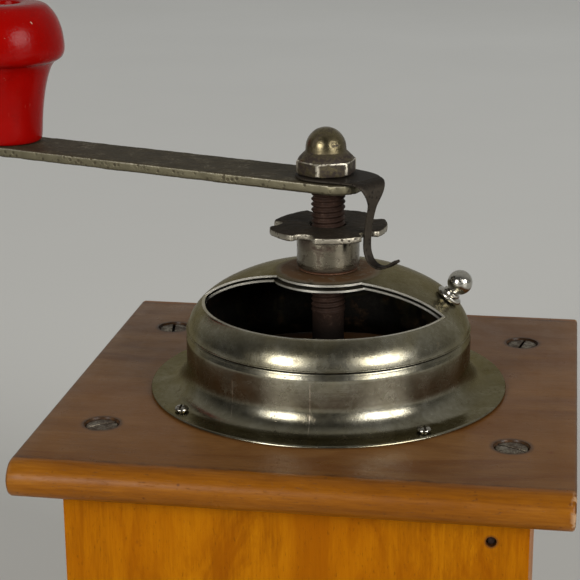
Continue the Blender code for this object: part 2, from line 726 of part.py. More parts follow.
def make_catch(axis):
    """The spring catch: a plate clamped under the cap nut, and a finger that drops into a notch."""
    z = ARM_Z1 + GAP + CATCH_T / 2
    clamp = []
    for out in (-9.4, -8.4, -6.6, -3.8, 0.0):
        half = math.sqrt(max(9.6 ** 2 - out ** 2, 3.0))
        clamp.append((out, z, -half, half))
    clamp += [(4.0, z, -8.6, 9.7), (8.0, z, -6.9, 9.5), (11.5, z, -5.8, 8.6), (14.0, z, -5.2, 7.2)]
    plate_obj = strip("latch_plate", clamp, CATCH_ANGLE, CATCH_T, axis, None)
    hole = as_cutter(cylinder("hole_latch", 4.4, (ZT + ARM_Z1 - 2, ZT + ARM_Z1 + 4), facets=20))
    boolean(plate_obj, hole)
    adopt(plate_obj, own_material("latch_plate", RUST, 0.6, 0.8), axis)
    smooth(plate_obj)

    root = polar(14.3, CATCH_ANGLE)
    hinge = pivot("latch_bend", (root[0], root[1], ZT + z))
    hinge.parent = axis
    hinge.matrix_parent_inverse = axis.matrix_world.inverted()
    bpy.context.view_layer.update()
    finger = [
        (14.3, z, -5.2, 7.1), (15.8, z - 0.35, -4.8, 6.4), (16.9, z - 1.4, -4.3, 5.4), (17.4, z - 3.0, -3.4, 4.2),
        (17.3, z - 4.8, -2.3, 3.0), (17.0, z - 6.8, -1.6, 1.9), (16.2, z - 10.5, -1.5, 1.5),
        (15.5, z - 14.5, -1.5, 1.5), (15.3, z - 18.5, -1.5, 1.5), (15.8, z - 21.0, -1.5, 1.5),
        (17.3, z - 23.1, -1.5, 1.5), (20.0, z - 24.0, -1.5, 1.5), (23.2, z - 23.2, -1.5, 1.5),
        (26.6, z - 21.0, -1.3, 1.3),
    ]
    finger_obj = strip("latch_finger", finger, CATCH_ANGLE, CATCH_T, hinge, None)
    adopt(finger_obj, own_material("latch_finger", RUST, 0.6, 0.8), hinge)
    smooth(finger_obj)


# ---------------------------------------------------------------- crank


def make_crank(axis):
    end = []
    for x, y, a0, a1 in ((ARM_END - 7, -3, -90, 0), (ARM_END - 7, 3, 0, 90)):
        end += arc(7.0, a0, a1, 4, (x, y))
    far = arc(ARM_HALF_W, 90, 270, 10, (-ARM_LEN, 0))
    seat = [(x, max(-3.6, min(3.6, y))) for x, y in circle(4.2, 24)]
    pin_hole = circle(3.1, 16, (-ARM_LEN, 0))
    half = (ARM_Z1 - ARM_Z0) / 2
    arm_at = (0, 0, ZT + (ARM_Z0 + ARM_Z1) / 2)
    arm = to_mesh(outline_curve("crank_arm", [end + far, seat, pin_hole], half, arm_at, (0, 0, ARM_ANGLE - 180)))
    adopt(arm, own_material("crank_arm", (0.17, 0.12, 0.085), 0.55, 0.8), axis)
    smooth(arm)

    dome = [(0, 78.0)]
    for angle in (70, 50, 30, 10):
        dome.append((5.9 * math.cos(math.radians(angle)), 72.0 + 6.0 * math.sin(math.radians(angle))))
    dome += [(6.0, 71.2), (6.6, 70.6), (7.4, 69.8), (8.0, 69.1), (0, 69.1)]
    cap = turned("cap_nut", dome, (CAP_X, CAP_Y, ZT), 24)
    hexagon = cylinder("cap_hexagon", HEX_AF / math.sqrt(3), (64.75, 69.2), facets=6)
    hexagon.location = Vector((CAP_X, CAP_Y, ZT + (64.75 + 69.2) / 2)) * MM
    hexagon.rotation_euler = (0, 0, math.radians(HEX_ANGLE + 90))
    boolean(cap, as_cutter(hexagon), "UNION")
    bore = as_cutter(cylinder("cap_bore", 4.3, (ZT + 60, ZT + 72.6), facets=24))
    boolean(cap, bore)
    adopt(cap, own_material("cap_nut", BRASSY, 0.3, 1.0), axis)
    smooth(cap)

    x, y = polar(ARM_LEN, ARM_ANGLE)
    grip_axis = pivot("grip_axis", (x, y, ZT + ARM_Z1))
    grip_axis.parent = axis
    grip_axis.matrix_parent_inverse = axis.matrix_world.inverted()
    bpy.context.view_layer.update()
    pin_line = [
        (0, 106.6), (1.4, 106.5), (2.6, 106.1), (2.9, 105.6), (1.9, 105.6), (1.9, 64.2), (2.8, 64.2),
        (2.8, 59.9), (4.4, 59.9), (4.2, 58.9), (2.6, 58.2), (0, 58.1),
    ]
    pin = turned("handle_pin", pin_line, (x, y, ZT), 16)
    adopt(pin, own_material("handle_pin", WORN_STEEL, 0.3, 1.0), axis)
    smooth(pin)
    grip_line = [
        (5.9, 107.4), (11.2, 107.4), (14.6, 105.9), (16.9, 102.8), (18.4, 98.6), (19.0, 94.2), (18.9, 92.0),
        (18.2, 90.3), (15.9, 88.9), (14.4, 86.6), (12.9, 82.0), (11.9, 77.0), (11.2, 71.5), (10.8, 66.0),
        (10.5, 64.3), (9.9, 63.6), (3.2, 63.6), (3.2, 64.6), (2.3, 64.6), (2.3, 105.2), (5.9, 105.2),
    ]
    grip = turned("handle_grip", grip_line, (x, y, ZT), 24, closed=True)
    adopt(grip, own_material("handle_grip", RED, 0.18), grip_axis)
    smooth(grip)


# ---------------------------------------------------------------- burr ring and bridge


def make_burr_housing(top, small):
    low = -BOARD_T - GAP
    ring_line = [
        (33.0, low), (33.0, low - 2.5), (RING_R + 0.5, low - 2.8), (RING_R, low - 6.0), (RING_R - 0.5, CONE_Z0),
        (18.9, CONE_Z0), (16.6, -28.0), (20.5, -20.0), (20.5, low),
    ]
    ring = turned("burr_ring", ring_line, (0, 0, ZT), 28, closed=True)
    teeth = as_cutter(fluted("ring_teeth", 18, (20.4, 16.3), 0.9, (CONE_Z0 - 1.0, -26.0), -10.0))
    boolean(ring, teeth)
    holes = []
    for i, angle in enumerate((90, 210, 330)):
        x, y = polar(28.6, angle)
        at = (x, y, ZT + low - 2.5 - GAP - 1.2)
        hole = screw_hole("hole_burr_%d" % (i + 1), SMALL_SCREW_HOLE, at, flip=True)
        boolean(top, hole)
        boolean(ring, hole)
        place_screw("burr_screw_%d" % (i + 1), small, at, 30 * i, (WORN_STEEL, 0.5, 0.9), flip=True)
        holes.append(hole)
    adopt(ring, own_material("burr_ring", CAST_IRON, 0.6, 0.9))
    smooth(ring)

    thick = 2.5
    right = [(47.0, low), (47.0, low - thick), (37.5, low - thick), (29.5, -52.5)]
    inner = [(26.8, -50.0), (34.6, low)]
    outer_side = right + [(-x, z) for x, z in reversed(right)]
    inner_side = [(-x, z) for x, z in reversed(inner)] + inner
    outline = outer_side + inner_side
    strap = outline_curve("lower_bridge", [outline], 7.0, (0, 0, ZT), (90, 0, 0))
    strap = to_mesh(strap)
    middle = as_cutter(cylinder("hole_bridge", 6.3, (ZT - 56, ZT - 47), facets=24))
    boolean(strap, middle)
    for i, x in enumerate((-42.2, 42.2)):
        at = (x, 0, ZT + low - thick - GAP - 1.2)
        hole = screw_hole("hole_bridge_%d" % (i + 1), SMALL_SCREW_HOLE, at, flip=True)
        boolean(top, hole)
        boolean(strap, hole)
        place_screw("bridge_screw_%d" % (i + 1), small, at, 40 * i, (WORN_STEEL, 0.5, 0.9), flip=True)
    adopt(strap, own_material("lower_bridge", WORN_STEEL, 0.5, 0.9))
    bush_line = [(8.0, -48.6), (8.0, -49.7), (6.0, -49.7), (6.0, -54.0), (4.3, -54.0), (4.3, -48.6)]
    bush = turned("bridge_bush", bush_line, (0, 0, ZT), 24, closed=True)
    adopt(bush, own_material("bridge_bush", BRASSY, 0.4, 1.0))
    smooth(bush)


def build():
    top, small = make_case()
    make_hopper(top, small)
    make_burr_housing(top, small)
    make_drawer()
    make_adjuster()
    axis = make_spindle()
    make_catch(axis)
    make_crank(axis)


build()
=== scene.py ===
import json
import math

import bmesh
import bpy
from mathutils import Euler, Matrix, Vector, noise

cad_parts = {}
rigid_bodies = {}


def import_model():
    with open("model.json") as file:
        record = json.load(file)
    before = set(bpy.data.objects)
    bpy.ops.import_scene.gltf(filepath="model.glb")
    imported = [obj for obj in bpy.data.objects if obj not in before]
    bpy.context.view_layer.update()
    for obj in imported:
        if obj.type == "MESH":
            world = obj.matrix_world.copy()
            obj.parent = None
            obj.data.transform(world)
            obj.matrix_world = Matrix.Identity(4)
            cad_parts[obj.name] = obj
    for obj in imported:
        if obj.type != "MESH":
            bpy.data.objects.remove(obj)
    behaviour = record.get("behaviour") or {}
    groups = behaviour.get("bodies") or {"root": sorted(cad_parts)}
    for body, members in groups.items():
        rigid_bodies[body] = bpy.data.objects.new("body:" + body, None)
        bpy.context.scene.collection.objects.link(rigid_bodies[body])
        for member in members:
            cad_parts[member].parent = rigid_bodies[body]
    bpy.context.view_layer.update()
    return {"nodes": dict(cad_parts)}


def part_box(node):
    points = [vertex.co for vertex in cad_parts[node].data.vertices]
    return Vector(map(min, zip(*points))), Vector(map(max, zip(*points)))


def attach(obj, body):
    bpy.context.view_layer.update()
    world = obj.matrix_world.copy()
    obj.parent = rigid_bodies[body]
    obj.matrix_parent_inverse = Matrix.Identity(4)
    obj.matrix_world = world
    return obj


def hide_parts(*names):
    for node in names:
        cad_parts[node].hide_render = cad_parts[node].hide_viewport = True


# Looks of an antique box coffee mill. Lengths are in millimetres unless a name says otherwise, in the
# frame of the CAD part: +Z up, the spindle's axis at x = y = 0, the mill standing on z = 0.

for obj in list(bpy.data.objects):
    bpy.data.objects.remove(obj, do_unlink=True)

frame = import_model()
NODES = frame["nodes"]
MM = 0.001


def box(node):
    low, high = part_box(node)
    return Vector(low) / MM, Vector(high) / MM


def top_middle(node):
    low, high = box(node)
    return (low.x + high.x) / 2, (low.y + high.y) / 2, high.z


BOARD_LOW, BOARD_HIGH = box("top_board")
ZT = BOARD_HIGH.z
MID_X, MID_Y = (BOARD_LOW.x + BOARD_HIGH.x) / 2, (BOARD_LOW.y + BOARD_HIGH.y) / 2
HALF_W, HALF_D = (BOARD_HIGH.x - BOARD_LOW.x) / 2, (BOARD_HIGH.y - BOARD_LOW.y) / 2

ARM_ANGLE = 161.2
CATCH_ANGLE = -35.0
HEX_ANGLE = -69.0
OPEN_TURN, OPEN_SPREAD, OPEN_EDGE, OPEN_BOSS_R = -8.65, 8.65, 11.45, 16.0
OPEN_LIP_Z, CUT_R = 25.95, 46.0
COLLAR_R, FLANGE_R, SHEET_T = 42.2, 53.0, 0.6
FLANGE_Z, FLARE_Z, FLARE_W = 0.7, 7.7, 6.0
DOME_R, DOME_RISE, DOME_SPRING, DOME_FOOT = 41.9, 19.5, 17.2, 18.4
CAP_X, CAP_Y = -0.55, -0.1
BOSS_FLAT_R, BOSS_TOP = 12.8, 35.7
NOSING, ARRIS = 5.2, 0.9
ROUND = 180
ARM_LOW, ARM_TOP, ARM_LENGTH = 60.2, 63.3, 115.0
HEX_ACROSS, CAP_FOOT = 15.4, 64.75


# ------------------------ shapes


def polar(radius, angle):
    return (radius * math.cos(math.radians(angle)), radius * math.sin(math.radians(angle)))


def arc(radius, start, end, count, centre=(0.0, 0.0)):
    """Points along an arc, both ends included."""
    found = []
    for i in range(count + 1):
        x, y = polar(radius, start + (end - start) * i / count)
        found.append((centre[0] + x, centre[1] + y))
    return found


def flowing(points, steps):
    """Points on a smooth line through the given ones, `steps` to each stretch."""
    found = []
    last = len(points) - 1
    for i in range(last):
        p0, p1, p2, p3 = (points[max(0, min(last, i + k))] for k in (-1, 0, 1, 2))
        for s in range(steps):
            t = s / steps
            point = []
            for a, b, c, d in zip(p0, p1, p2, p3):
                bend, twist = 2 * a - 5 * b + 4 * c - d, 3 * b - a - 3 * c + d
                point.append(0.5 * (2 * b + (c - a) * t + bend * t * t + twist * t ** 3))
            found.append(tuple(point))
    found.append(tuple(points[last]))
    return found


def link(obj):
    bpy.context.scene.collection.objects.link(obj)


def from_bm(bm, name):
    mesh = bpy.data.meshes.new(name)
    bm.to_mesh(mesh)
    bm.free()
    return bpy.data.objects.new(name, mesh)


def skin(name, rings, loop=False, inner=None, caps=True):
    """A mesh through rings of points. With `loop` the last ring joins the first. Faces between the rings
    numbered in the pair `inner` get the second material."""
    count = len(rings[0])
    bm = bmesh.new()
    verts = [[bm.verts.new(Vector(p) * MM) for p in one] for one in rings]
    pairs = [(i, i + 1) for i in range(len(rings) - 1)]
    if loop:
        pairs.append((len(rings) - 1, 0))
    for a, b in pairs:
        hidden = inner is not None and inner[0] <= a < inner[1]
        for i in range(count):
            j = (i + 1) % count
            face = bm.faces.new((verts[a][i], verts[a][j], verts[b][j], verts[b][i]))
            face.material_index = 1 if hidden else 0
    if caps and not loop:
        bm.faces.new(verts[0][::-1])
        bm.faces.new(verts[-1])
    bmesh.ops.remove_doubles(bm, verts=bm.verts, dist=1e-6)
    bmesh.ops.recalc_face_normals(bm, faces=bm.faces)
    return from_bm(bm, name)


def ring(radius, z, count, shape=None):
    """A level ring. `shape` gives the radius its change by angle and height."""
    found = []
    for i in range(count):
        angle = 2 * math.pi * i / count
        r = radius if shape is None else radius + shape(angle, z)
        found.append((r * math.cos(angle), r * math.sin(angle), z))
    return found


def lathe(name, profile, count=96, loop=False, inner=None, shape=None):
    return skin(name, [ring(r, z, count, shape) for r, z in profile], loop, inner)


def raised(line, by=ZT):
    """A profile whose heights were measured from the board's top."""
    return [(r, h + by) for r, h in line]


def thick_line(line, thickness):
    """A closed profile: the line, then its copy `thickness` inwards, with the inner stretch's numbers."""
    inside = []
    for i, (r, z) in enumerate(line):
        r0, z0 = line[max(0, i - 1)]
        r1, z1 = line[min(len(line) - 1, i + 1)]
        size = math.hypot(r1 - r0, z1 - z0)
        inside.append((r - (z0 - z1) / size * thickness, z - (r1 - r0) / size * thickness))
    return line + inside[::-1], (len(line), 2 * len(line) - 1)


def placed(obj, at=(0, 0, 0), turn=(0, 0, 0)):
    """Moves the mesh itself, so that the object stays at the origin."""
    spin = Euler([math.radians(a) for a in turn]).to_matrix().to_4x4()
    obj.data.transform(Matrix.Translation(Vector(at) * MM) @ spin)
    return obj


def baked(obj):
    """Applies the object's modifiers."""
    link(obj)
    bpy.context.view_layer.update()
    graph = bpy.context.evaluated_depsgraph_get()
    mesh = bpy.data.meshes.new_from_object(obj.evaluated_get(graph))
    bpy.context.scene.collection.objects.unlink(obj)
    name = obj.name
    bpy.data.objects.remove(obj, do_unlink=True)
    made = bpy.data.objects.new(name, mesh)
    return made


def bevelled(obj, width, segments=2, angle=30.0):
    rounded = obj.modifiers.new("rounded", "BEVEL")
    rounded.width = width * MM
    rounded.segments = segments
    rounded.limit_method = "ANGLE"
    rounded.angle_limit = math.radians(angle)
    rounded.use_clamp_overlap = True
    return obj


def cut(obj, others, operation="DIFFERENCE"):
    """Cuts the others out of obj, or joins or crosses them with it, and removes them."""
    for other in others:
        link(other)
        step = obj.modifiers.new("cut", "BOOLEAN")
        step.operation = operation
        step.solver = "EXACT"
        step.material_mode = "TRANSFER"
        step.object = other
    made = baked(obj)
    for other in others:
        bpy.data.objects.remove(other, do_unlink=True)
    return made


def plate(name, loops, z, rounded=0.0, segments=2):
    """A flat piece with the given outlines between the pair of heights z."""
    curve = bpy.data.curves.new(name, "CURVE")
    curve.dimensions = "2D"
    curve.fill_mode = "BOTH"
    curve.extrude = (z[1] - z[0]) / 2 * MM
    for loop in loops:
        spline = curve.splines.new("POLY")
        spline.points.add(len(loop) - 1)
        for point, (x, y) in zip(spline.points, loop):
            point.co = (x * MM, y * MM, 0.0, 1.0)
        spline.use_cyclic_u = True
    obj = baked(bpy.data.objects.new(name, curve))
    bm = bmesh.new()
    bm.from_mesh(obj.data)
    bmesh.ops.remove_doubles(bm, verts=bm.verts, dist=2e-6)
    bmesh.ops.dissolve_limit(bm, angle_limit=0.01, verts=bm.verts, edges=bm.edges)
    bmesh.ops.recalc_face_normals(bm, faces=bm.faces)
    bm.to_mesh(obj.data)
    bm.free()
    placed(obj, (0, 0, (z[0] + z[1]) / 2))
    if rounded:
        obj = baked(bevelled(obj, rounded, segments, 40.0))
    return obj


def block(name, x, y, z):
    bm = bmesh.new()
    bmesh.ops.create_cube(bm, size=MM)
    bmesh.ops.scale(bm, vec=(x[1] - x[0], y[1] - y[0], z[1] - z[0]), verts=bm.verts)
    middle = Vector((x[0] + x[1], y[0] + y[1], z[0] + z[1])) / 2
    bmesh.ops.translate(bm, vec=middle * MM, verts=bm.verts)
    return from_bm(bm, name)


def worked(obj, voxel, wave=0.0, size=1.0, seed=0.0, calm=4):
    """Gives a forged or stamped piece fine even faces, soft edges and a slightly uneven surface."""
    fine = obj.modifiers.new("fine", "REMESH")
    fine.mode = "VOXEL"
    fine.voxel_size = voxel * MM
    calming = obj.modifiers.new("calm", "SMOOTH")
    calming.iterations = calm
    calming.factor = 0.5
    obj = baked(obj)
    shift = Vector((seed, seed * 1.7, seed * 2.3))
    for vert in obj.data.vertices:
        place = vert.co / MM / size + shift
        vert.co += vert.normal * noise.fractal(place, 0.9, 2.0, 3) * wave * MM
    return obj


def finished(obj, body, mat, node, angle=35.0):
    """Smooth shading, a material and the body that the piece rides on, in place of the CAD node. A piece
    that brings its own materials keeps them."""
    link(obj)
    obj.data.shade_smooth()
    obj.data.set_sharp_from_angle(angle=math.radians(angle))
    if not any(obj.data.materials):
        obj.data.materials.clear()
        obj.data.materials.append(mat)
    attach(obj, body)
    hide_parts(node)
    return obj


# ------------------------ material nodes


def shade(tone, *by):
    """The tone, darker or lighter by one factor, or by one for each channel."""
    return tuple(c * k for c, k in zip(tone, by * 3 if len(by) == 1 else by))


class Nodes:
    """The nodes of a material or a world. An input's value is a plain value or another node's output."""

    def __init__(self, tree):
        self.tree = tree

    def feed(self, socket, value):
        if isinstance(value, bpy.types.NodeSocket):
            self.tree.links.new(value, socket)
        elif isinstance(value, tuple) and socket.type == "RGBA":
            socket.default_value = (*value, 1.0)
        else:
            socket.default_value = value

    def node(self, kind, inputs=None, **settings):
        made = self.tree.nodes.new(kind)
        for key, value in settings.items():
            setattr(made, key, value)
        for key, value in (inputs or {}).items():
            self.feed(made.inputs[key], value)
        return made

    def maths(self, operation, a, b=0.0, c=0.0):
        return self.node("ShaderNodeMath", {0: a, 1: b, 2: c}, operation=operation).outputs[0]

    def gathered(self, operation, values):
        found = values[0]
        for value in values[1:]:
            found = self.maths(operation, found, value)
        return found

    def times(self, *values):
        return self.gathered("MULTIPLY", values)

    def plus(self, *values):
        return self.gathered("ADD", values)

    def minus(self, *values):
        return self.gathered("SUBTRACT", values)

    def most(self, *values):
        return self.gathered("MAXIMUM", values)

    def span(self, value, low, high, to_low=0.0, to_high=1.0):
        """The value's share of the way from low to high, held at both ends."""
        return self.node(
            "ShaderNodeMapRange",
            {"Value": value, "From Min": low, "From Max": high, "To Min": to_low, "To Max": to_high},
            clamp=True,
        ).outputs[0]

    def fall(self, value, low, high):
        """1 below low, 0 above high."""
        return self.span(value, low, high, 1.0, 0.0)

    def mix(self, share, a, b):
        """A colour between a and b."""
        return self.node("ShaderNodeMix", {0: share, 6: a, 7: b}, data_type="RGBA").outputs[2]

    def blend(self, share, a, b):
        """A plain number between a and b."""
        return self.node("ShaderNodeMix", {0: share, 2: a, 3: b}, data_type="FLOAT").outputs[0]

    def ramp(self, value, *stops):
        made = self.node("ShaderNodeValToRGB", {0: value})
        elements = made.color_ramp.elements
        while len(elements) < len(stops):
            elements.new(0.5)
        for element, (place, colour) in zip(elements, stops):
            element.position = place
            element.color = (*colour, 1.0)
        return made.outputs[0]

    def parts(self, vector=None):
        return self.node("ShaderNodeSeparateXYZ", {0: vector or self.at}).outputs


class Finish(Nodes):
    """One material's nodes. Coordinates are the piece's own, in metres."""

    def __init__(self, name, metallic=0.0):
        self.mat = bpy.data.materials.new(name)
        self.mat.use_nodes = True
        super().__init__(self.mat.node_tree)
        self.shader = self.tree.nodes["Principled BSDF"]
        self.at = self.node("ShaderNodeTexCoord").outputs["Object"]
        self.relief = None
        self.put("Metallic", metallic)

    def put(self, socket, value):
        self.feed(self.shader.inputs[socket], value)

    def moved(self, at, stretch, shift):
        place = (shift, shift * 0.7, shift * 1.3)
        return self.node("ShaderNodeMapping",
                         {"Vector": at, "Scale": stretch, "Location": place}).outputs[0]

    def noise(self, scale, detail=4.0, rough=0.55, warp=0.0, shift=0.0, stretch=(1, 1, 1), at=None):
        place = self.moved(at or self.at, stretch, shift)
        inputs = {"Vector": place, "Scale": scale, "Detail": detail, "Roughness": rough, "Distortion": warp}
        return self.node("ShaderNodeTexNoise", inputs).outputs[0]

    def cells(self, scale, shift=0.0):
        """Distance to the nearest of points strewn about."""
        place = self.moved(self.at, (1, 1, 1), shift)
        return self.node("ShaderNodeTexVoronoi", {"Vector": place, "Scale": scale}, feature="F1").outputs[0]

    def bump(self, height, depth):
        """Adds a relief `depth` millimetres deep to those added before."""
        inputs = {"Height": height, "Distance": depth * MM, "Strength": 1.0}
        if self.relief is not None:
            inputs["Normal"] = self.relief
        self.relief = self.node("ShaderNodeBump", inputs).outputs[0]
        self.put("Normal", self.relief)

    def facing_up(self):
        """1 on level faces and 0 on upright ones."""
        normal = self.node("ShaderNodeNewGeometry").outputs["Normal"]
        return self.maths("ABSOLUTE", self.parts(normal)[2])

    def radius(self, x=0.0, y=0.0):
        """Distance from the upright line through x and y."""
        flat = self.node("ShaderNodeCombineXYZ",
                         {0: self.parts()[0], 1: self.parts()[1], 2: 0.0}).outputs[0]
        return self.distance(flat, (x * MM, y * MM, 0.0))

    def distance(self, a, b):
        return self.node("ShaderNodeVectorMath", {0: a, 1: b}, operation="DISTANCE").outputs["Value"]

    def near(self, place, inner, outer):
        """1 within `inner` millimetres of a place, falling to 0 at `outer`."""
        return self.fall(self.distance(self.at, Vector(place) * MM), inner * MM, outer * MM)

    def round_about(self):
        """Coordinates that follow a turned piece: angle, height and radius."""
        x, y, z = self.parts()
        angle = self.maths("ARCTAN2", y, x)
        return self.node("ShaderNodeCombineXYZ", {0: angle, 1: z, 2: self.radius()}).outputs[0]


def wood(name, along, tones, rough, fleck, seed, spots=(), rim=None, gloss=0.15):
    """Wood with its grain along the axis numbered `along`: fibres, figure, dark pores and blotches.
    tones are (dark, middle, light). rim is (half width, half depth, tones) of a board's rounded front
    and back."""
    f = Finish(name)
    grain = [1.0, 1.0, 1.0]
    grain[along] = 0.06
    short = [1.0, 1.0, 1.0]
    short[along] = 0.22
    figure = f.noise(70.0, 5.0, 0.6, 0.35, seed, grain)
    fibre = f.noise(1500.0, 3.0, 0.65, 0.0, seed + 3, grain)
    cloud = f.noise(22.0, 4.0, 0.6, 0.4, seed + 5)
    curl = f.noise(190.0, 5.0, 0.65, 1.2, seed + 9, short)
    mixed = f.plus(f.times(figure, 0.4), f.times(fibre, 0.22), f.times(cloud, 0.2), f.times(curl, 0.18))

    def tinted(colours):
        dark, middle, light = colours
        return f.ramp(mixed, (0.4, dark), (0.5, middle), (0.6, light))

    colour = tinted(tones)
    ruddy = f.span(f.noise(60.0, 5.0, 0.66, 0.9, seed + 41, short), 0.5, 0.62)
    colour = f.mix(f.times(ruddy, 0.6), colour, shade(tones[0], 0.8, 0.62, 0.5))
    warm = f.span(f.noise(17.0, 4.0, 0.6, 0.6, seed + 51), 0.42, 0.6)
    colour = f.mix(f.times(warm, 0.5), colour, shade(tones[1], 0.9, 0.76, 0.4))
    if rim:
        half_w, half_d, rim_tones = rim
        x, y = f.parts()[:2]
        dx = f.minus(f.maths("ABSOLUTE", f.minus(x, MID_X * MM)), half_w * MM)
        dy = f.minus(f.maths("ABSOLUTE", f.minus(y, MID_Y * MM)), half_d * MM)
        ragged = f.span(f.noise(260.0, 4.0, 0.7, 0.0, 31), 0.3, 0.7, -0.0004, 0.0004)
        dy = f.plus(dy, ragged)
        edge = f.span(dy, -0.0068, -0.0058)
        rim_colour = tinted(rim_tones)
        speck = f.fall(f.cells(330.0, 8.0), 0.09, 0.17)
        speck = f.times(speck, f.span(f.noise(160.0), 0.52, 0.6))
        rim_colour = f.mix(f.times(speck, 0.7), rim_colour, (0.07, 0.02, 0.004))
        colour = f.mix(edge, colour, rim_colour)
        line = f.times(f.span(dy, -0.0082, -0.0066), f.fall(dy, -0.0066, -0.0056))
        dashes = f.span(f.noise(190.0, 4.0, 0.7, 0.0, 17), 0.45, 0.62, 0.35, 1.0)
        colour = f.mix(f.times(line, dashes, 0.8), colour, (0.05, 0.018, 0.006))
        end = f.span(dx, -0.0008, -0.0001)
        colour = f.mix(f.times(end, 0.75), colour, (0.05, 0.024, 0.012))
        corner_x = f.span(dx, -0.0017, -0.0005)
        corner_y = f.span(dy, -0.007, -0.0045)
        chafe = f.times(corner_x, corner_y, f.span(f.noise(420.0), 0.44, 0.56))
        worn_side = f.span(f.minus(x, MID_X * MM), -0.01, 0.01, 0.15, 1.0)
        colour = f.mix(f.times(chafe, worn_side), colour, (0.36, 0.22, 0.12))
    pore = f.span(f.noise(2600.0, 2.0, 0.5, 0.0, seed + 13, short), 0.63, 0.76)
    colour = f.mix(f.times(pore, fleck), colour, shade(tones[0], 0.34))
    knot = f.fall(f.cells(62.0, seed + 2), 0.035, 0.085)
    knot = f.times(knot, f.span(f.noise(800.0, 3.0, 0.6, 0.0, seed), 0.4, 0.6))
    colour = f.mix(f.times(knot, 0.6), colour, (0.1, 0.018, 0.004))
    # Each spot pulls the colour to its tone: grime round screws and nails, and on the top board the
    # near-black spot inside the hopper, which is partly painted shade.
    for place, inner, outer, amount, tone in spots:
        worn = f.near(place, inner, outer)
        ragged = f.times(worn, f.span(f.noise(700.0, 4.0, 0.7, 0.0, 7), 0.3, 0.55, 0.55, 1.0))
        colour = f.mix(f.times(ragged, amount), colour, tone)
    f.put("Base Color", colour)
    f.put("Roughness", f.span(f.noise(120.0, 5.0, 0.65, 0.0, seed + 21), 0.3, 0.7, *rough))
    f.put("Specular IOR Level", gloss)
    f.bump(mixed, 0.09)
    f.bump(pore, -0.05)
    f.bump(f.noise(330.0, 4.0, 0.7, 0.0, seed + 17, short), 0.05)
    return f.mat


def nickel(name, tones, rough, rust=0.0, dark=1.0, pits=1.0, boss=False, scratches=()):
    """Worn nickel plate on sheet steel: cloudy tarnish, fine turning marks, pits and rust freckles."""
    f = Finish(name, metallic=1.0)
    cloud = f.noise(55.0, 6.0, 0.62, 0.6, 2.0)
    fine = f.noise(900.0, 4.0, 0.7, 0.0, 4.0)
    low, middle, high = (shade(one, dark) for one in tones)
    colour = f.ramp(f.blend(0.3, cloud, fine), (0.34, low), (0.5, middle), (0.64, high))
    yellow = f.span(f.noise(34.0, 4.0, 0.6, 0.5, 12.0), 0.54, 0.7)
    colour = f.mix(f.times(yellow, 0.42), colour, (0.22 * dark, 0.18 * dark, 0.075 * dark))
    around = f.round_about()
    streak = f.noise(60.0, 3.0, 0.6, 0.0, 1.0, (0.02, 22.0, 22.0), around)
    speck = f.fall(f.cells(620.0, 3.0), 0.1, 0.2)
    patch = f.span(f.noise(75.0, 3.0, 0.6, 0.0, 8.0), 0.5, 0.66)
    speck = f.times(speck, patch)
    colour = f.mix(f.times(speck, 0.75 * pits), colour, (0.035, 0.022, 0.012))
    bloom = f.span(f.noise(150.0, 6.0, 0.75, 0.0, 15.0), 0.62 - 0.1 * rust, 0.74)
    brown = f.times(bloom, 0.35 + 0.5 * rust)
    if boss:
        flat = f.fall(f.radius(), 0.0135, 0.0165)
        ragged = f.times(flat, f.span(f.noise(420.0, 4.0, 0.7, 0.0, 3.0), 0.2, 0.45))
        brown = f.most(brown, ragged)
    colour = f.mix(brown, colour, (0.085, 0.042, 0.017))
    scored = None
    for (x, y), z0, z1, width in scratches:
        px, py, pz = f.parts()
        across = f.maths("ABSOLUTE", f.minus(px, x * MM))
        mark = f.fall(across, width * 0.3 * MM, width * MM)
        front = f.maths("LESS_THAN", py, y * MM)
        tall = f.times(f.span(pz, z0 * MM, (z0 + 2) * MM), f.fall(pz, (z1 - 2) * MM, z1 * MM))
        mark = f.times(mark, front, tall)
        mark = f.times(mark, f.span(f.noise(300.0, 3.0, 0.7, 0.0, x, (1, 1, 3)), 0.3, 0.6, 0.2, 1.0))
        scored = mark if scored is None else f.most(scored, mark)
    if scored is not None:
        colour = f.mix(f.times(scored, 0.85), colour, (0.72, 0.62, 0.5))
    f.put("Base Color", colour)
    f.put("Metallic", f.span(brown, 0.2, 0.9, 1.0, 0.1))
    low, high = rough
    base = f.span(f.noise(180.0, 5.0, 0.7, 0.0, 6.0), 0.3, 0.7, low, high)
    f.put("Roughness", f.blend(brown, base, 0.75))
    f.put("Specular Tint", (0.6, 0.55, 0.42))
    f.bump(streak, 0.012)
    f.bump(fine, 0.018)
    f.bump(f.plus(speck, brown), -0.03)
    return f.mat


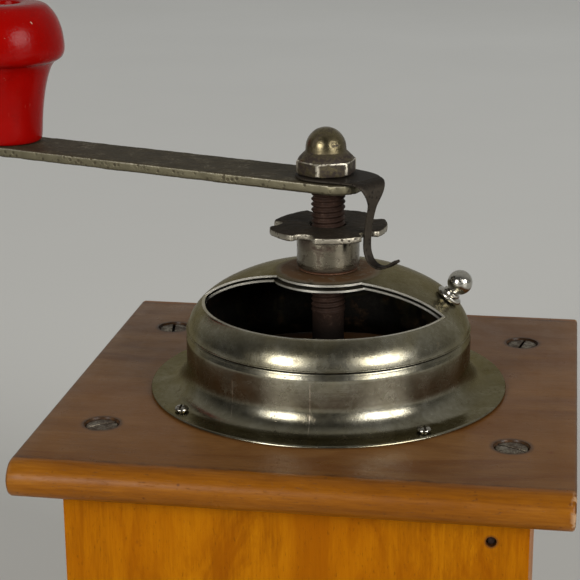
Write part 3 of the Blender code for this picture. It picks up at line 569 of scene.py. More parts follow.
def rusty(name, rust, metal, wear=0.5, rough=(0.45, 0.75), scale=1.0, sides=0.0, sides_metal=None,
          depth=0.06, deep=None, crest=None):
    """Steel under brown rust, worn bare in places, and more so on upright faces when `sides` is set. Below
    the pair of heights `deep` it is painted near black with little specular, as painted shade in a recess;
    it is worn bright between the pair `crest`."""
    f = Finish(name)
    patches = f.noise(240.0 * scale, 6.0, 0.72, 0.3, 5.0)
    grit = f.noise(1700.0 * scale, 4.0, 0.7, 0.0, 9.0)
    pit = f.fall(f.cells(700.0 * scale, 6.0), 0.2, 0.38)
    pit = f.times(pit, f.span(f.noise(330.0, 3.0, 0.6, 0.0, 2.0), 0.38, 0.48))
    bare = f.span(f.blend(0.35, patches, grit), 0.62 - 0.3 * wear, 0.72 - 0.3 * wear)
    if sides:
        upright = f.fall(f.facing_up(), 0.35, 0.8)
        bare = f.most(f.times(bare, f.span(upright, 0.0, 1.0, 1.0 - sides * 0.6, 1.0)),
                      f.times(upright, sides))
    if crest:
        low, high = crest
        worn = f.span(f.parts()[2], low * MM, high * MM)
        worn = f.times(worn, upright, f.span(grit, 0.35, 0.6))
        bare = f.most(bare, worn)
        sides_metal = f.mix(f.times(worn, 0.8), sides_metal, (0.6, 0.56, 0.46))
    bare = f.times(bare, f.span(pit, 0.0, 1.0, 1.0, 0.08))
    brown = f.ramp(f.blend(0.5, patches, grit), (0.35, shade(rust, 0.5)), (0.52, rust),
                   (0.68, shade(rust, 1.9)))
    steel = f.ramp(grit, (0.3, shade(metal, 0.6)), (0.6, metal))
    if sides_metal:
        steel = f.mix(upright, steel, sides_metal)
    gleam = 0.15
    # Painted shade: below the heights `deep` the colour turns near black, bare metal is hidden and the
    # specular drops, for a part down in a recess.
    if deep:
        low, high = deep
        painted_shade_low = f.fall(f.parts()[2], low * MM, high * MM)
        gleam = f.span(painted_shade_low, 0.0, 1.0, 0.15, 0.02)
        bare = f.times(bare, f.fall(painted_shade_low, 0.0, 1.0))
        brown = f.mix(painted_shade_low, brown, (0.008, 0.006, 0.005))
    f.put("Base Color", f.mix(bare, brown, steel))
    f.put("Metallic", f.span(bare, 0.1, 0.6, 0.0, 1.0))
    f.put("Roughness", f.blend(bare, rough[1], rough[0]))
    f.put("Specular IOR Level", gleam)
    f.bump(patches, depth)
    f.bump(grit, depth * 0.5)
    f.bump(pit, -depth * 0.8)
    return f.mat


def polished(name, tone, rough, stain, stain_tone, foot=None, patches=(), edges=None):
    """Bright turned steel or brass with turning marks, small pits and stains. It is stained between
    the pair of heights `foot` and round the patches (place, inner, outer), and worn bright at the edges:
    `edges` holds a nut's axis, the radius where its corners begin, and the height of its upper edge."""
    f = Finish(name, metallic=1.0)
    around = f.round_about()
    turned_marks = f.noise(80.0, 4.0, 0.6, 0.0, 3.0, (0.03, 40.0, 40.0), around)
    blot = f.noise(260.0, 6.0, 0.7, 0.4, 4.0)
    stained = f.span(blot, 0.66 - 0.26 * stain, 0.76 - 0.2 * stain)
    pit = f.fall(f.cells(900.0, 2.0), 0.1, 0.24)
    pit = f.times(pit, f.span(f.noise(260.0, 3.0, 0.6, 0.0, 22.0), 0.5, 0.6))
    if foot is not None:
        low, high = foot
        ring_stain = f.fall(f.parts()[2], low * MM, high * MM)
        ragged = f.span(f.noise(500.0, 4.0, 0.7, 0.0, 5.0), 0.3, 0.55)
        stained = f.most(stained, f.times(ring_stain, ragged))
    for place, inner, outer in patches:
        ragged = f.span(f.noise(600.0, 4.0, 0.7, 0.0, 11.0), 0.3, 0.55, 0.35, 1.0)
        stained = f.most(stained, f.times(f.near(place, inner, outer), ragged))
    spoilt = f.most(stained, f.times(pit, 0.9))
    base = f.ramp(turned_marks, (0.3, shade(tone, 0.72)), (0.7, tone))
    if edges:
        x, y, corner, top = edges
        height = f.parts()[2]
        ends = f.span(f.radius(x, y), corner * MM, (corner + 0.25) * MM)
        rim = f.times(f.span(height, (top - 0.45) * MM, (top - 0.25) * MM),
                      f.fall(height, (top + 0.1) * MM, (top + 0.3) * MM))
        rubbed = f.most(ends, rim)
        rubbed = f.times(rubbed, f.span(f.noise(700.0, 4.0, 0.7, 0.0, 19.0), 0.36, 0.5))
        rubbed = f.times(rubbed, f.fall(height, (top + 0.1) * MM, (top + 0.3) * MM))
        base = f.mix(rubbed, base, (0.8, 0.74, 0.62))
        spoilt = f.times(spoilt, f.span(rubbed, 0.0, 1.0, 1.0, 0.1))
    f.put("Base Color", f.mix(spoilt, base, stain_tone))
    f.put("Metallic", f.span(spoilt, 0.3, 1.0, 1.0, 0.2))
    f.put("Roughness", f.blend(spoilt, f.span(blot, 0.3, 0.7, rough[0], rough[1]), 0.65))
    f.bump(turned_marks, 0.012)
    f.bump(spoilt, -0.04)
    return f.mat


def paint(name, tone):
    """Glossy old enamel on turned wood: slow waves, fine scratches, chips and a little grime."""
    f = Finish(name)
    slow = f.noise(70.0, 3.0, 0.5, 0.0, 3.0)
    grime = f.span(f.noise(160.0, 6.0, 0.75, 0.5, 8.0, (1, 1, 0.5)), 0.58, 0.78)
    chip = f.span(f.noise(520.0, 5.0, 0.65, 0.0, 14.0), 0.715, 0.735)
    scratch = f.span(f.noise(300.0, 3.0, 0.6, 0.0, 2.0, (6.0, 6.0, 0.25)), 0.68, 0.74)
    colour = f.ramp(slow, (0.3, shade(tone, 0.82)), (0.7, tone))
    colour = f.mix(f.times(grime, 0.55), colour, shade(tone, 0.35))
    colour = f.mix(f.times(scratch, 0.25), colour, (0.55, 0.12, 0.09))
    colour = f.mix(chip, colour, (0.5, 0.33, 0.24))
    f.put("Base Color", colour)
    f.put("Roughness", f.blend(f.most(chip, f.times(grime, 0.6)), 0.2, 0.5))
    f.put("Specular IOR Level", 0.08)
    f.bump(f.noise(900.0, 3.0, 0.6, 0.0, 16.0), 0.09)
    f.bump(slow, 0.25)
    f.bump(chip, -0.12)
    f.bump(scratch, -0.015)
    f.bump(f.noise(420.0, 3.0, 0.6, 0.0, 6.0), 0.04)
    return f.mat


BOARD_TONES = ((0.112, 0.048, 0.014), (0.15, 0.068, 0.021), (0.188, 0.09, 0.03))
RIM_TONES = ((0.13, 0.04, 0.002), (0.19, 0.062, 0.003), (0.25, 0.09, 0.006))
CASE_TONES = ((0.21, 0.062, 0.001), (0.31, 0.104, 0.0013), (0.39, 0.142, 0.002))
BARE_TONES = ((0.36, 0.22, 0.1), (0.46, 0.3, 0.15), (0.54, 0.37, 0.2))
DARK_STAIN = (0.03, 0.016, 0.009)

SCREWS = ("front_left", "front_right", "back_right", "back_left")


# Spots on the top board. The near-black one within 39 mm of the middle is the board inside the hopper:
# grime together with painted shade. The rings round the screws are grime.
board_grime_and_painted_shade = [((0.0, 0.0, ZT), 39.0, 43.0, 0.96, (0.008, 0.006, 0.005))]
for where in SCREWS:
    x, y, z = top_middle("board_screw_" + where)
    board_grime_and_painted_shade.append(((x, y, ZT), 5.1, 6.4, 0.96, DARK_STAIN))
nail_low, nail_high = box("front_nail")
nail_place = ((nail_low.x + nail_high.x) / 2, nail_low.y, (nail_low.z + nail_high.z) / 2)

BOARD_WOOD = wood("board_wood", 0, BOARD_TONES, (0.26, 0.42), 0.45, 1.0, board_grime_and_painted_shade,
                  (HALF_W, HALF_D, RIM_TONES), 0.13)
BASE_WOOD = wood("base_wood", 0, BOARD_TONES, (0.26, 0.42), 0.45, 4.0, (), (HALF_W, HALF_D, RIM_TONES),
                 0.13)
CASE_WOOD = wood("case_wood", 2, CASE_TONES, (0.28, 0.4), 0.4, 2.0,
                 [(nail_place, 1.5, 2.3, 0.95, (0.03, 0.014, 0.01))], gloss=0.03)
SIDE_WOOD = wood("side_wood", 2, CASE_TONES, (0.28, 0.4), 0.4, 6.5, gloss=0.03)
DRAWER_WOOD = wood("drawer_front_wood", 0, CASE_TONES, (0.28, 0.4), 0.4, 8.0, gloss=0.03)
BARE_WOOD = wood("bare_wood", 1, BARE_TONES, (0.55, 0.75), 0.4, 11.0)

NICKEL_TONES = ((0.14, 0.124, 0.085), (0.205, 0.19, 0.14), (0.3, 0.285, 0.23))
COLLAR_NICKEL = nickel("collar_nickel", NICKEL_TONES, (0.2, 0.3), 0.25, 1.0, 1.0,
                       scratches=(((1.0, -20.0), ZT + 1.0, ZT + 15.5, 0.14),
                                  ((-22.0, -20.0), ZT + 2.0, ZT + 14.0, 0.1)))
COVER_NICKEL = nickel("cover_nickel", NICKEL_TONES, (0.22, 0.32), 0.2, 1.05, 0.7, boss=True)
# The inner dome's tones are darkened to 0.45: more rust, and painted shade for its place inside the hopper.
INNER_NICKEL = nickel("inner_nickel", NICKEL_TONES, (0.42, 0.6), 0.6, 0.45, 1.0)
# Near-black tones for the inner faces of the hopper's sheets: partly blackened metal, partly painted shade
# inside the hopper.
BLACKENED_AND_PAINTED_SHADE_INSIDE = nickel("blackened_inside_and_painted_shade", ((0.012, 0.011, 0.01), (0.02, 0.018, 0.015), (0.035, 0.032, 0.026)),
               (0.45, 0.7), 0.8)
CUT_EDGE = nickel("cut_edge", ((0.5, 0.48, 0.42), (0.62, 0.6, 0.54), (0.72, 0.7, 0.64)), (0.28, 0.4), 0.0,
                  1.0, 0.3)
KNOB_NICKEL = polished("knob_nickel", (0.5, 0.48, 0.43), (0.12, 0.26), 0.25, (0.1, 0.07, 0.045))
HUB_STEEL = polished("hub_steel", (0.2, 0.178, 0.135), (0.18, 0.3), 0.5, (0.045, 0.024, 0.012),
                     (ZT + 36.8, ZT + 38.4), [((*polar(9.2, -128.0), ZT + 46.5), 1.5, 4.5)])
STAR_STEEL = rusty("star_steel", (0.022, 0.016, 0.01), (0.16, 0.135, 0.1), 0.12, (0.34, 0.72), 1.0, 0.8,
                   (0.42, 0.385, 0.31), 0.1)
# The spindle is painted near black below ZT + 17, fading by ZT + 27: painted shade down in the throat under
# the hopper.
THREAD_STEEL = rusty("thread_steel", (0.028, 0.014, 0.009), (0.12, 0.09, 0.07), 0.15, (0.38, 0.62), 1.2,
                     deep=(ZT + 17.0, ZT + 27.0))
CATCH_STEEL = rusty("catch_steel", (0.012, 0.0085, 0.0055), (0.13, 0.105, 0.08), 0.1, (0.4, 0.62), 1.0, 0.1,
                    (0.18, 0.15, 0.11), 0.1)
ARM_STEEL = rusty("crank_steel", (0.042, 0.033, 0.018), (0.16, 0.14, 0.1), 0.24, (0.4, 0.62), 0.8, 0.72,
                  (0.21, 0.19, 0.125), 0.1, crest=(ZT + 62.7, ZT + 63.1))
WASHER_STEEL = rusty("washer_steel", (0.085, 0.038, 0.02), (0.25, 0.2, 0.15), 0.2)
# Wood screws painted near black below ZT - 0.85: painted shade in the slot bottoms and countersinks of the
# top board's screws, and over the whole of the base's screws underneath.
SCREW_STEEL = rusty("wood_screw_steel", (0.06, 0.042, 0.028), (0.26, 0.225, 0.17), 0.5, (0.34, 0.62), 1.3,
                    deep=(ZT - 0.85, ZT - 0.55))
SMALL_SCREW_STEEL = polished("small_screw_steel", (0.34, 0.32, 0.28), (0.2, 0.32), 0.4,
                             (0.05, 0.035, 0.022))
NAIL_STEEL = rusty("nail_steel", (0.02, 0.01, 0.007), (0.05, 0.035, 0.025), 0.1)
CAP_NICKEL = polished("cap_nickel", (0.185, 0.155, 0.088), (0.24, 0.36), 0.62, (0.02, 0.011, 0.006),
                      (ZT + 70.2, ZT + 72.4), [((*polar(8.0, HEX_ANGLE + 30.0), ZT + 67.0), 2.6, 4.6)],
                      (CAP_X, CAP_Y, 8.45, ZT + 68.6))
PIN_STEEL = polished("pin_steel", (0.55, 0.53, 0.5), (0.18, 0.32), 0.35, (0.1, 0.06, 0.04))
BRASS = polished("aged_brass", (0.42, 0.3, 0.13), (0.3, 0.45), 0.4, (0.1, 0.06, 0.03))
IRON = rusty("burr_iron", (0.02, 0.014, 0.01), (0.07, 0.062, 0.054), 0.25, (0.45, 0.65), 1.0)
BRIDGE_STEEL = rusty("bridge_steel", (0.09, 0.06, 0.04), (0.35, 0.33, 0.29), 0.55)
RED_PAINT = paint("red_paint", (0.25, 0.0015, 0.0007))


# ------------------------ case


def hand_planed(obj, amount, seed):
    """Small unevenness along the edges of a board."""
    for vert in obj.data.vertices:
        edge = max(abs(vert.co.x / MM - MID_X) - HALF_W + 4.0, abs(vert.co.y / MM - MID_Y) - HALF_D)
        if edge > -7.0:
            place = Vector((vert.co.x / MM / 16.0 + seed, vert.co.y / MM / 16.0, vert.co.z / MM / 5.0))
            vert.co -= vert.normal * (0.5 + 0.5 * noise.noise(place)) * amount * MM
    return obj


def board(name, z0, z1, seed):
    """A board with a half-round nosing at the front and back, and its ends cut square."""
    middle, half_t = (z0 + z1) / 2, (z1 - z0) / 2
    ends = [(HALF_W, ARRIS), (HALF_W - ARRIS * 0.3, ARRIS * 0.3), (HALF_W - ARRIS, 0.0)]
    stations = [(-x, inset) for x, inset in ends]
    stations += [(-HALF_W + ARRIS + (2 * HALF_W - 2 * ARRIS) * i / 30, 0.0) for i in range(1, 30)]
    stations += ends[::-1]
    rings = []
    for x, inset in stations:
        one = []
        for side in (1, -1):
            for i in range(21):
                angle = math.radians(90 - 180 * i / 20)
                out = HALF_D - inset - NOSING * (1 - math.cos(angle))
                one.append((MID_X + x, MID_Y + side * out,
                            middle + side * (half_t - inset) * math.sin(angle)))
        rings.append(one)
    return hand_planed(skin(name, rings), 0.14, seed)


def countersinks(prefix, flip=False):
    """Cutters for the screws of one board."""
    found = []
    for where in SCREWS:
        x, y = top_middle(prefix + where)[:2]
        if flip:
            line = [(5.1, -3), (5.1, 0.55), (4.8, 1.1), (2.3, 3.4), (2.3, 30), (0, 30), (0, -3)]
        else:
            line = [(0, ZT + 3), (5.1, ZT + 3), (5.1, ZT - 0.1), (4.8, ZT - 0.7), (2.3, ZT - 3.3),
                    (2.3, ZT - 40), (0, ZT - 40)]
        hole = lathe("hole", line, 48)
        found.append(placed(hole, (x, y, 0)))
    return found


def make_boards():
    top = board("top_board_shape", BOARD_LOW.z, ZT, 0.0)
    throat = lathe("throat", [(0, ZT + 2), (22, ZT + 2), (22, ZT - 14), (0, ZT - 14)], 72)
    top = cut(top, [throat] + countersinks("board_screw_"))
    finished(top, "case", BOARD_WOOD, "top_board", angle=50)
    low, high = box("base_board")
    base = board("base_board_shape", low.z, high.z, 5.0)
    for vert in base.data.vertices:
        if vert.co.z < 1.2 * MM:
            vert.co.z = max(0.0, vert.co.z)
    base = cut(base, countersinks("base_screw_", True))
    finished(base, "case", BASE_WOOD, "base_board", angle=50)


def wood_screw(node, turn, flip, seed):
    """A countersunk screw with a slot worn at its mouth, its head a little domed and dented."""
    x, y, top = top_middle(node)
    if flip:
        top = box(node)[0].z
    line = [(0, 0.02), (1.6, 0.0), (3.2, -0.06), (4.15, -0.16), (4.42, -0.3), (4.46, -0.5), (2.1, -2.95),
            (2.0, -8.0)]
    z = -8.0
    while z > -24.0:
        line += [(2.0, z), (1.45, z - 0.55), (1.45, z - 0.95), (2.0, z - 1.35)]
        z -= 1.5
    line += [(1.2, -26.5), (0.5, -28.6), (0, -28.9)]
    body = lathe("screw", line, 40)
    slot = bevelled(block("slot", (-6, 6), (-0.47, 0.47), (-1.05, 2)), 0.08)
    body = baked(bevelled(cut(body, [baked(slot)]), 0.09, 2, 40))
    for vert in body.data.vertices:
        if vert.co.z > -0.9 * MM:
            place = vert.co / MM / 1.3 + Vector((seed, 0, 0))
            vert.co.z -= (0.5 + 0.5 * noise.noise(place)) * 0.09 * MM
    placed(body, (x, y, top), (180 if flip else 0, 0, turn))
    finished(body, "case", SCREW_STEEL, node, angle=40)


def make_screws():
    turns = {"front_left": 38, "front_right": 152, "back_right": 78, "back_left": 100}
    for i, where in enumerate(SCREWS):
        wood_screw("board_screw_" + where, turns[where], False, i * 3.0)
        wood_screw("base_screw_" + where, turns[where] + 20, True, i * 5.0 + 1)
    for i, where in enumerate(SCREWS):
        node = "flange_screw_" + where
        x, y, top = top_middle(node)
        line = [(0, 0.0), (0.7, -0.05), (1.3, -0.22), (1.75, -0.56), (2.0, -0.95), (2.05, -1.18),
                (1.2, -1.2), (1.2, -7.4), (0.4, -8.9), (0, -8.9)]
        body = lathe("screw", flowing(line[:6], 2) + line[6:], 40)
        slot = block("slot", (-4, 4), (-0.34, 0.34), (-0.8, 2))
        body = baked(bevelled(cut(body, [slot]), 0.05, 2, 40))
        angle = math.degrees(math.atan2(y, x))
        placed(body, (x, y, top), (0, 0, angle + (45, -21, 70, 70)[i]))
        body.name = node + "_shape"
        finished(body, "case", SMALL_SCREW_STEEL, node, angle=40)
    line = [(0, 0.0), (0.7, -0.03), (1.02, -0.16), (1.1, -0.4), (1.1, -1.0), (0.8, -1.6), (0.8, -17.9),
            (0, -19.8)]
    nail = lathe("front_nail_shape", line, 32)
    placed(nail, (nail_place[0], nail_low.y, nail_place[2]), (90, 0, 0))
    finished(nail, "case", NAIL_STEEL, "front_nail")


# ------------------------ hopper


def dome_line(radius, rise, flat, count, foot=DOME_FOOT):
    points = []
    first = math.acos(flat / radius)
    last = math.asin((foot - DOME_SPRING) / rise)
    for i in range(count + 1):
        angle = first + (last - first) * i / count
        points.append((radius * math.cos(angle), DOME_SPRING + rise * math.sin(angle)))
    return points


def opening(edge, boss, z):
    """Cutter for the feeding opening: two straight edges, the boss's arc and an arc outside the dome."""
    spread = math.radians(OPEN_SPREAD)
    foot = (edge * math.sin(spread), -edge * math.cos(spread))
    ways = []
    for radius in (boss, CUT_R):
        along = math.sqrt(radius * radius - edge * edge)
        ways.append((foot[0] + along * math.cos(spread), foot[1] + along * math.sin(spread)))
    inner = math.degrees(math.atan2(ways[0][1], ways[0][0]))
    out = math.degrees(math.atan2(ways[1][1], ways[1][0]))
    outline = arc(boss, -180.0 - inner, inner, 40) + arc(CUT_R, out, -180.0 - out, 40)
    cutter = placed(plate("opening", [outline], z), turn=(0, 0, OPEN_TURN))
    cutter.data.materials.append(CUT_EDGE)
    return cutter


def with_materials(obj, *mats):
    for mat in mats:
        obj.data.materials.append(mat)
    return obj


def make_hopper():
    z = ZT + 0.3
    shoulder = [
        (COLLAR_R - 1.1, 17.32), (COLLAR_R - 0.7, 17.28), (COLLAR_R - 0.47, 17.0), (COLLAR_R - 0.34, 16.5),
        (COLLAR_R - 0.2, 16.0), (COLLAR_R - 0.04, 15.45),
    ]
    line = flowing(shoulder, 3)
    line += [(COLLAR_R, 15.25), (COLLAR_R, 14.6), (COLLAR_R, 12.5), (COLLAR_R, 10.0)]
    for i in range(17):
        angle = math.radians(90 * i / 16)
        line.append((COLLAR_R + FLARE_W * (1 - math.cos(angle)),
                     FLARE_Z - (FLARE_Z - FLANGE_Z) * math.sin(angle)))
    line += [(FLANGE_R - 2.5, FLANGE_Z), (FLANGE_R - 0.5, FLANGE_Z), (FLANGE_R - 0.26, FLANGE_Z - 0.02),
             (FLANGE_R - 0.15, FLANGE_Z - 0.1), (FLANGE_R, FLANGE_Z - 0.45)]
    line, inner = thick_line(line, SHEET_T)
    collar = lathe("hopper_collar_shape", raised(line, z), ROUND, True, inner)
    dent = Vector((37.0, -31.0, ZT + 1.0))
    for vert in collar.data.vertices:
        place = vert.co / MM
        reach = math.hypot(place.x, place.y)
        share = max(0.0, min(1.0, (reach - 44.0) / 6.0))
        wave = 0.5 + 0.5 * noise.noise(Vector((place.x / 15.0, place.y / 15.0, 3.0)))
        vert.co.z -= share * wave * 0.12 * MM
        if place.z > ZT + 3.0:
            out = noise.noise(Vector((place.x / 9.0, place.y / 9.0, place.z / 12.0))) * 0.07
            vert.co.x += out * place.x / reach * MM
            vert.co.y += out * place.y / reach * MM
        pressed = max(0.0, 1.0 - (place - dent).length / 2.6)
        vert.co.z -= pressed ** 2 * 0.18 * MM
    with_materials(collar, COLLAR_NICKEL, BLACKENED_AND_PAINTED_SHADE_INSIDE)
    finished(collar, "case", None, "hopper_collar", angle=50)

    crown = [(7.3, BOSS_TOP), (9.5, BOSS_TOP + 0.02), (11.6, BOSS_TOP), (12.6, BOSS_TOP - 0.1)]
    crown += dome_line(DOME_R, DOME_RISE, BOSS_FLAT_R + 1.2, 40)
    crown += [(DOME_R + 0.02, DOME_FOOT - 0.03), (DOME_R + 0.2, DOME_FOOT - 0.07),
              (DOME_R + 0.3, DOME_FOOT - 0.18), (DOME_R + 0.3, DOME_FOOT - 0.3),
              (DOME_R + 0.2, DOME_FOOT - 0.4)]
    line, inner = thick_line(crown, SHEET_T)
    cover = lathe("hopper_cover_shape", raised(line), ROUND, True, inner)
    for vert in cover.data.vertices:
        place = vert.co / MM
        wave = noise.noise(Vector((place.x / 11.0, place.y / 11.0, 7.0)))
        if place.z < ZT + 34.0:
            vert.co.z += wave * 0.09 * MM
    with_materials(cover, COVER_NICKEL, BLACKENED_AND_PAINTED_SHADE_INSIDE)
    cover = cut(cover, [opening(OPEN_EDGE, OPEN_BOSS_R, (ZT + OPEN_LIP_Z, ZT + 50))])
    finished(cover, "cover", None, "hopper_cover", angle=50)

    under = [(7.2, BOSS_TOP - 1.2), (BOSS_FLAT_R - 0.6, BOSS_TOP - 1.2)]
    under += dome_line(DOME_R - 1.3, DOME_RISE - 1.3, BOSS_FLAT_R + 1.0, 36)[:-2]
    under += [(COLLAR_R - 1.2, 16.6), (COLLAR_R - 1.15, 14.0), (COLLAR_R - 1.15, 11.0)]
    line, inner = thick_line(under, SHEET_T)
    dome = lathe("inner_dome_shape", raised(line), ROUND, True, inner)
    with_materials(dome, INNER_NICKEL, BLACKENED_AND_PAINTED_SHADE_INSIDE)
    dome = cut(dome, [opening(OPEN_EDGE + 0.2, OPEN_BOSS_R + 0.8, (ZT + OPEN_LIP_Z - 1.4, ZT + 50))])
    finished(dome, "case", None, "inner_dome", angle=50)

    ball_z = 6.0
    ball = [polar(3.65, 90 - 12 * i) for i in range(13)]
    ball = [(max(0.0, r), h + ball_z) for r, h in ball]
    foot = [(1.95, 2.9), (2.2, 2.66), (2.5, 2.52), (2.6, 2.3), (2.6, 1.75), (3.3, 1.62), (3.72, 1.42),
            (3.9, 1.05), (3.88, 0.6), (3.75, 0.35), (1.15, 0.35), (1.15, -0.45), (0, -0.45)]
    knob = lathe("cover_knob_shape", ball + foot, 64)
    knob_r, knob_angle = 35.2, 2.0
    up = DOME_RISE * math.sqrt(1 - (knob_r / DOME_R) ** 2)
    lean = math.degrees(math.atan2(knob_r / DOME_R ** 2, up / DOME_RISE ** 2))
    x, y = polar(knob_r, knob_angle)
    placed(knob, turn=(0, lean, 0))
    placed(knob, (x, y, ZT + DOME_SPRING + up), (0, 0, knob_angle))
    finished(knob, "cover", KNOB_NICKEL, "cover_knob", angle=38)


# ------------------------ spindle, star nut, catch


def make_spindle():
    pitch, depth, radius = 1.6, 0.62, 5.0

    def threaded(z, low, high):
        fade = min(1.0, (z - low) / 0.9, (high - z) / 0.7)
        return max(0.0, fade)

    def shape(angle, z):
        h = z - ZT
        for low, high in ((23.2, 36.4), (46.5, 59.9)):
            if low < h < high:
                phase = (h / pitch - angle / (2 * math.pi)) % 1.0
                tooth = abs(phase - 0.5) * 2
                tooth = min(1.0, max(0.0, (tooth - 0.12) / 0.76))
                return -depth * (1 - tooth) * threaded(h, low, high)
        return 0.0

    line = [(0, 72.0), (3.2, 72.0), (3.7, 71.6), (3.9, 71.2), (3.9, 60.1), (3.9, 59.95),
            (radius - 0.45, 59.95)]
    z = 59.85
    while z > 46.6:
        line.append((radius - (0.0 if z < 59.5 else (z - 59.5) * 0.8), z))
        z -= 0.13
    line += [(radius, 46.4), (radius, 36.6)]
    z = 36.4
    while z > 23.2:
        line.append((radius, z))
        z -= 0.13
    line += [(radius - 0.15, 23.0), (4.7, 22.7), (4.7, 10.0), (4.7, -13.8), (4.55, -14.2), (4.0, -14.6),
             (4.0, -54.6), (3.7, -55.4), (3.2, -56.0), (0, -56.0)]
    shaft = lathe("spindle_shape", raised(line), 56, shape=shape)
    sides = []
    for side in (-1, 1):
        x = (3.3, 9.0) if side > 0 else (-9.0, -3.3)
        flat = block("flat", x, (-9, 9), (ZT + 59.97, ZT + 75))
        sides.append(placed(flat, turn=(0, 0, ARM_ANGLE + 90)))
    hole = lathe("hole", [(0, 12), (1.55, 12), (1.55, -12), (0, -12)], 24)
    sides.append(placed(hole, (0, 0, ZT - 38.0), (90, 0, 0)))
    shaft = cut(shaft, sides)
    finished(shaft, "crank", THREAD_STEEL, "spindle", angle=60)


def star_outline():
    loop = []
    radius, notch_r, lobes, phase = 17.3, 3.1, 5, -36.0
    pitch = 360.0 / lobes
    half = math.degrees(math.asin(notch_r / radius))
    for k in range(lobes):
        middle = phase + k * pitch
        centre = polar(radius - 0.6, middle)
        loop += arc(notch_r, middle + 95, middle + 265, 14, centre)[::-1]
        loop += [polar(radius - 0.35, middle + half + 1.0)]
        loop += arc(radius, middle + half + 3.5, middle + pitch - half - 3.5, 12)
        loop += [polar(radius - 0.35, middle + pitch - half - 1.0)]
    return loop


def make_adjuster():
    hub_line = [(8.75, 47.1), (9.05, 46.95), (9.2, 46.6), (9.25, 46.0), (9.24, 44.0), (9.2, 42.0),
                (9.22, 39.5), (9.25, 37.6), (9.15, 37.15), (8.85, 36.8), (5.4, 36.8), (5.4, 47.1)]
    hub = lathe("nut_hub_shape", raised(hub_line), 96, True)
    finished(hub, "star_nut", HUB_STEEL, "nut_hub", angle=32)

    star = plate("star_plate_shape", [star_outline(), arc(5.3, 0, 350, 35)], (ZT + 47.4, ZT + 49.4), 0.22)
    star = worked(star, 0.42, 0.13, 2.2, 3.0, 3)
    bent = Vector(polar(1.0, 178.0))
    for vert in star.data.vertices:
        place = vert.co / MM
        out = max(0.0, place.x * bent.x + place.y * bent.y - 8.5) / 8.5
        vert.co.z -= out ** 1.5 * 0.65 * MM
        rise = max(0.0, place.x * 0.97 + place.y * 0.24 - 9.0) / 8.0
        vert.co.z += rise ** 1.4 * 0.25 * MM
    finished(star, "star_nut", STAR_STEEL, "star_plate", angle=75)

    washer_line = [(8.4, 36.45), (8.6, 36.35), (8.6, 36.1), (8.4, 36.0), (5.4, 36.0), (5.4, 36.45)]
    washer = lathe("thrust_washer_shape", raised(washer_line), 72, True)
    finished(washer, "washer", WASHER_STEEL, "thrust_washer")

    bush_line = [
        (6.9, BOSS_TOP + 0.1), (6.9, BOSS_TOP - 2.1), (11.0, BOSS_TOP - 2.1),
        (11.0, BOSS_TOP - 3.3), (5.35, BOSS_TOP - 3.3), (5.35, BOSS_TOP + 0.1),
    ]
    bush = lathe("bearing_bush_shape", raised(bush_line), 64, True)
    finished(bush, "case", BRASS, "bearing_bush")


def strip(name, stations, thickness, columns=9, steps=5):
    """A bent strip of sheet: stations are (out, height, near edge, far edge) along its middle line."""
    line = flowing(stations, steps)
    rings = []
    for i, (out, height, near, far) in enumerate(line):
        before, after = line[max(0, i - 1)], line[min(len(line) - 1, i + 1)]
        along = Vector((after[0] - before[0], after[1] - before[1])).normalized()
        nx, nz = -along.y * thickness / 2, along.x * thickness / 2
        edge = min(thickness * 0.3, 0.25)
        shares = [0.0] + [k / (columns - 1) for k in range(columns)] + [1.0]
        upper, lower = [], []
        for k, share in enumerate(shares):
            rim = k in (0, len(shares) - 1)
            side = near + (far - near) * share
            if k == 1:
                side += edge
            if k == len(shares) - 2:
                side -= edge
            lift = 0.55 if rim else 1.0
            upper.append((out + nx * lift, side, height + nz * lift))
            lower.append((out - nx * lift, side, height - nz * lift))
        rings.append(upper + lower[::-1])
    return skin(name, rings)


def make_catch():
    t = 0.8
    z = ARM_TOP + 0.3 + t / 2
    clamp = []
    for out in (-9.55, -9.2, -8.4, -6.6, -3.8, 0.0):
        half = math.sqrt(max(9.6 ** 2 - out ** 2, 0.5))
        clamp.append((out, z, -half, half))
    clamp += [(4.0, z, -8.6, 9.7), (8.0, z, -6.9, 9.5), (11.5, z, -5.8, 8.6), (14.0, z, -5.2, 7.2)]
    clamped = placed(strip("latch_plate_shape", clamp, t), (0, 0, ZT), (0, 0, CATCH_ANGLE))
    hole = lathe("hole", [(0, ZT + 70), (4.4, ZT + 70), (4.4, ZT + 60), (0, ZT + 60)], 48)
    clamped = cut(clamped, [hole])
    finished(clamped, "crank", CATCH_STEEL, "latch_plate", angle=45)

    finger = [
        (14.3, z, -5.2, 7.1), (15.8, z - 0.35, -4.8, 6.4), (16.9, z - 1.4, -4.3, 5.4),
        (17.4, z - 3.0, -3.4, 4.2), (17.3, z - 4.8, -2.3, 3.0), (17.0, z - 6.8, -1.6, 1.9),
        (16.2, z - 10.5, -1.5, 1.5), (15.5, z - 14.5, -1.5, 1.5), (15.3, z - 18.5, -1.5, 1.5),
        (15.8, z - 21.0, -1.5, 1.5), (17.3, z - 23.1, -1.5, 1.5), (20.0, z - 24.0, -1.5, 1.5),
        (23.2, z - 23.2, -1.5, 1.5), (26.6, z - 21.0, -1.3, 1.3),
    ]
    spring = placed(strip("latch_finger_shape", finger, t), (0, 0, ZT), (0, 0, CATCH_ANGLE))
    finished(spring, "catch", CATCH_STEEL, "latch_finger", angle=45)


# ------------------------ crank


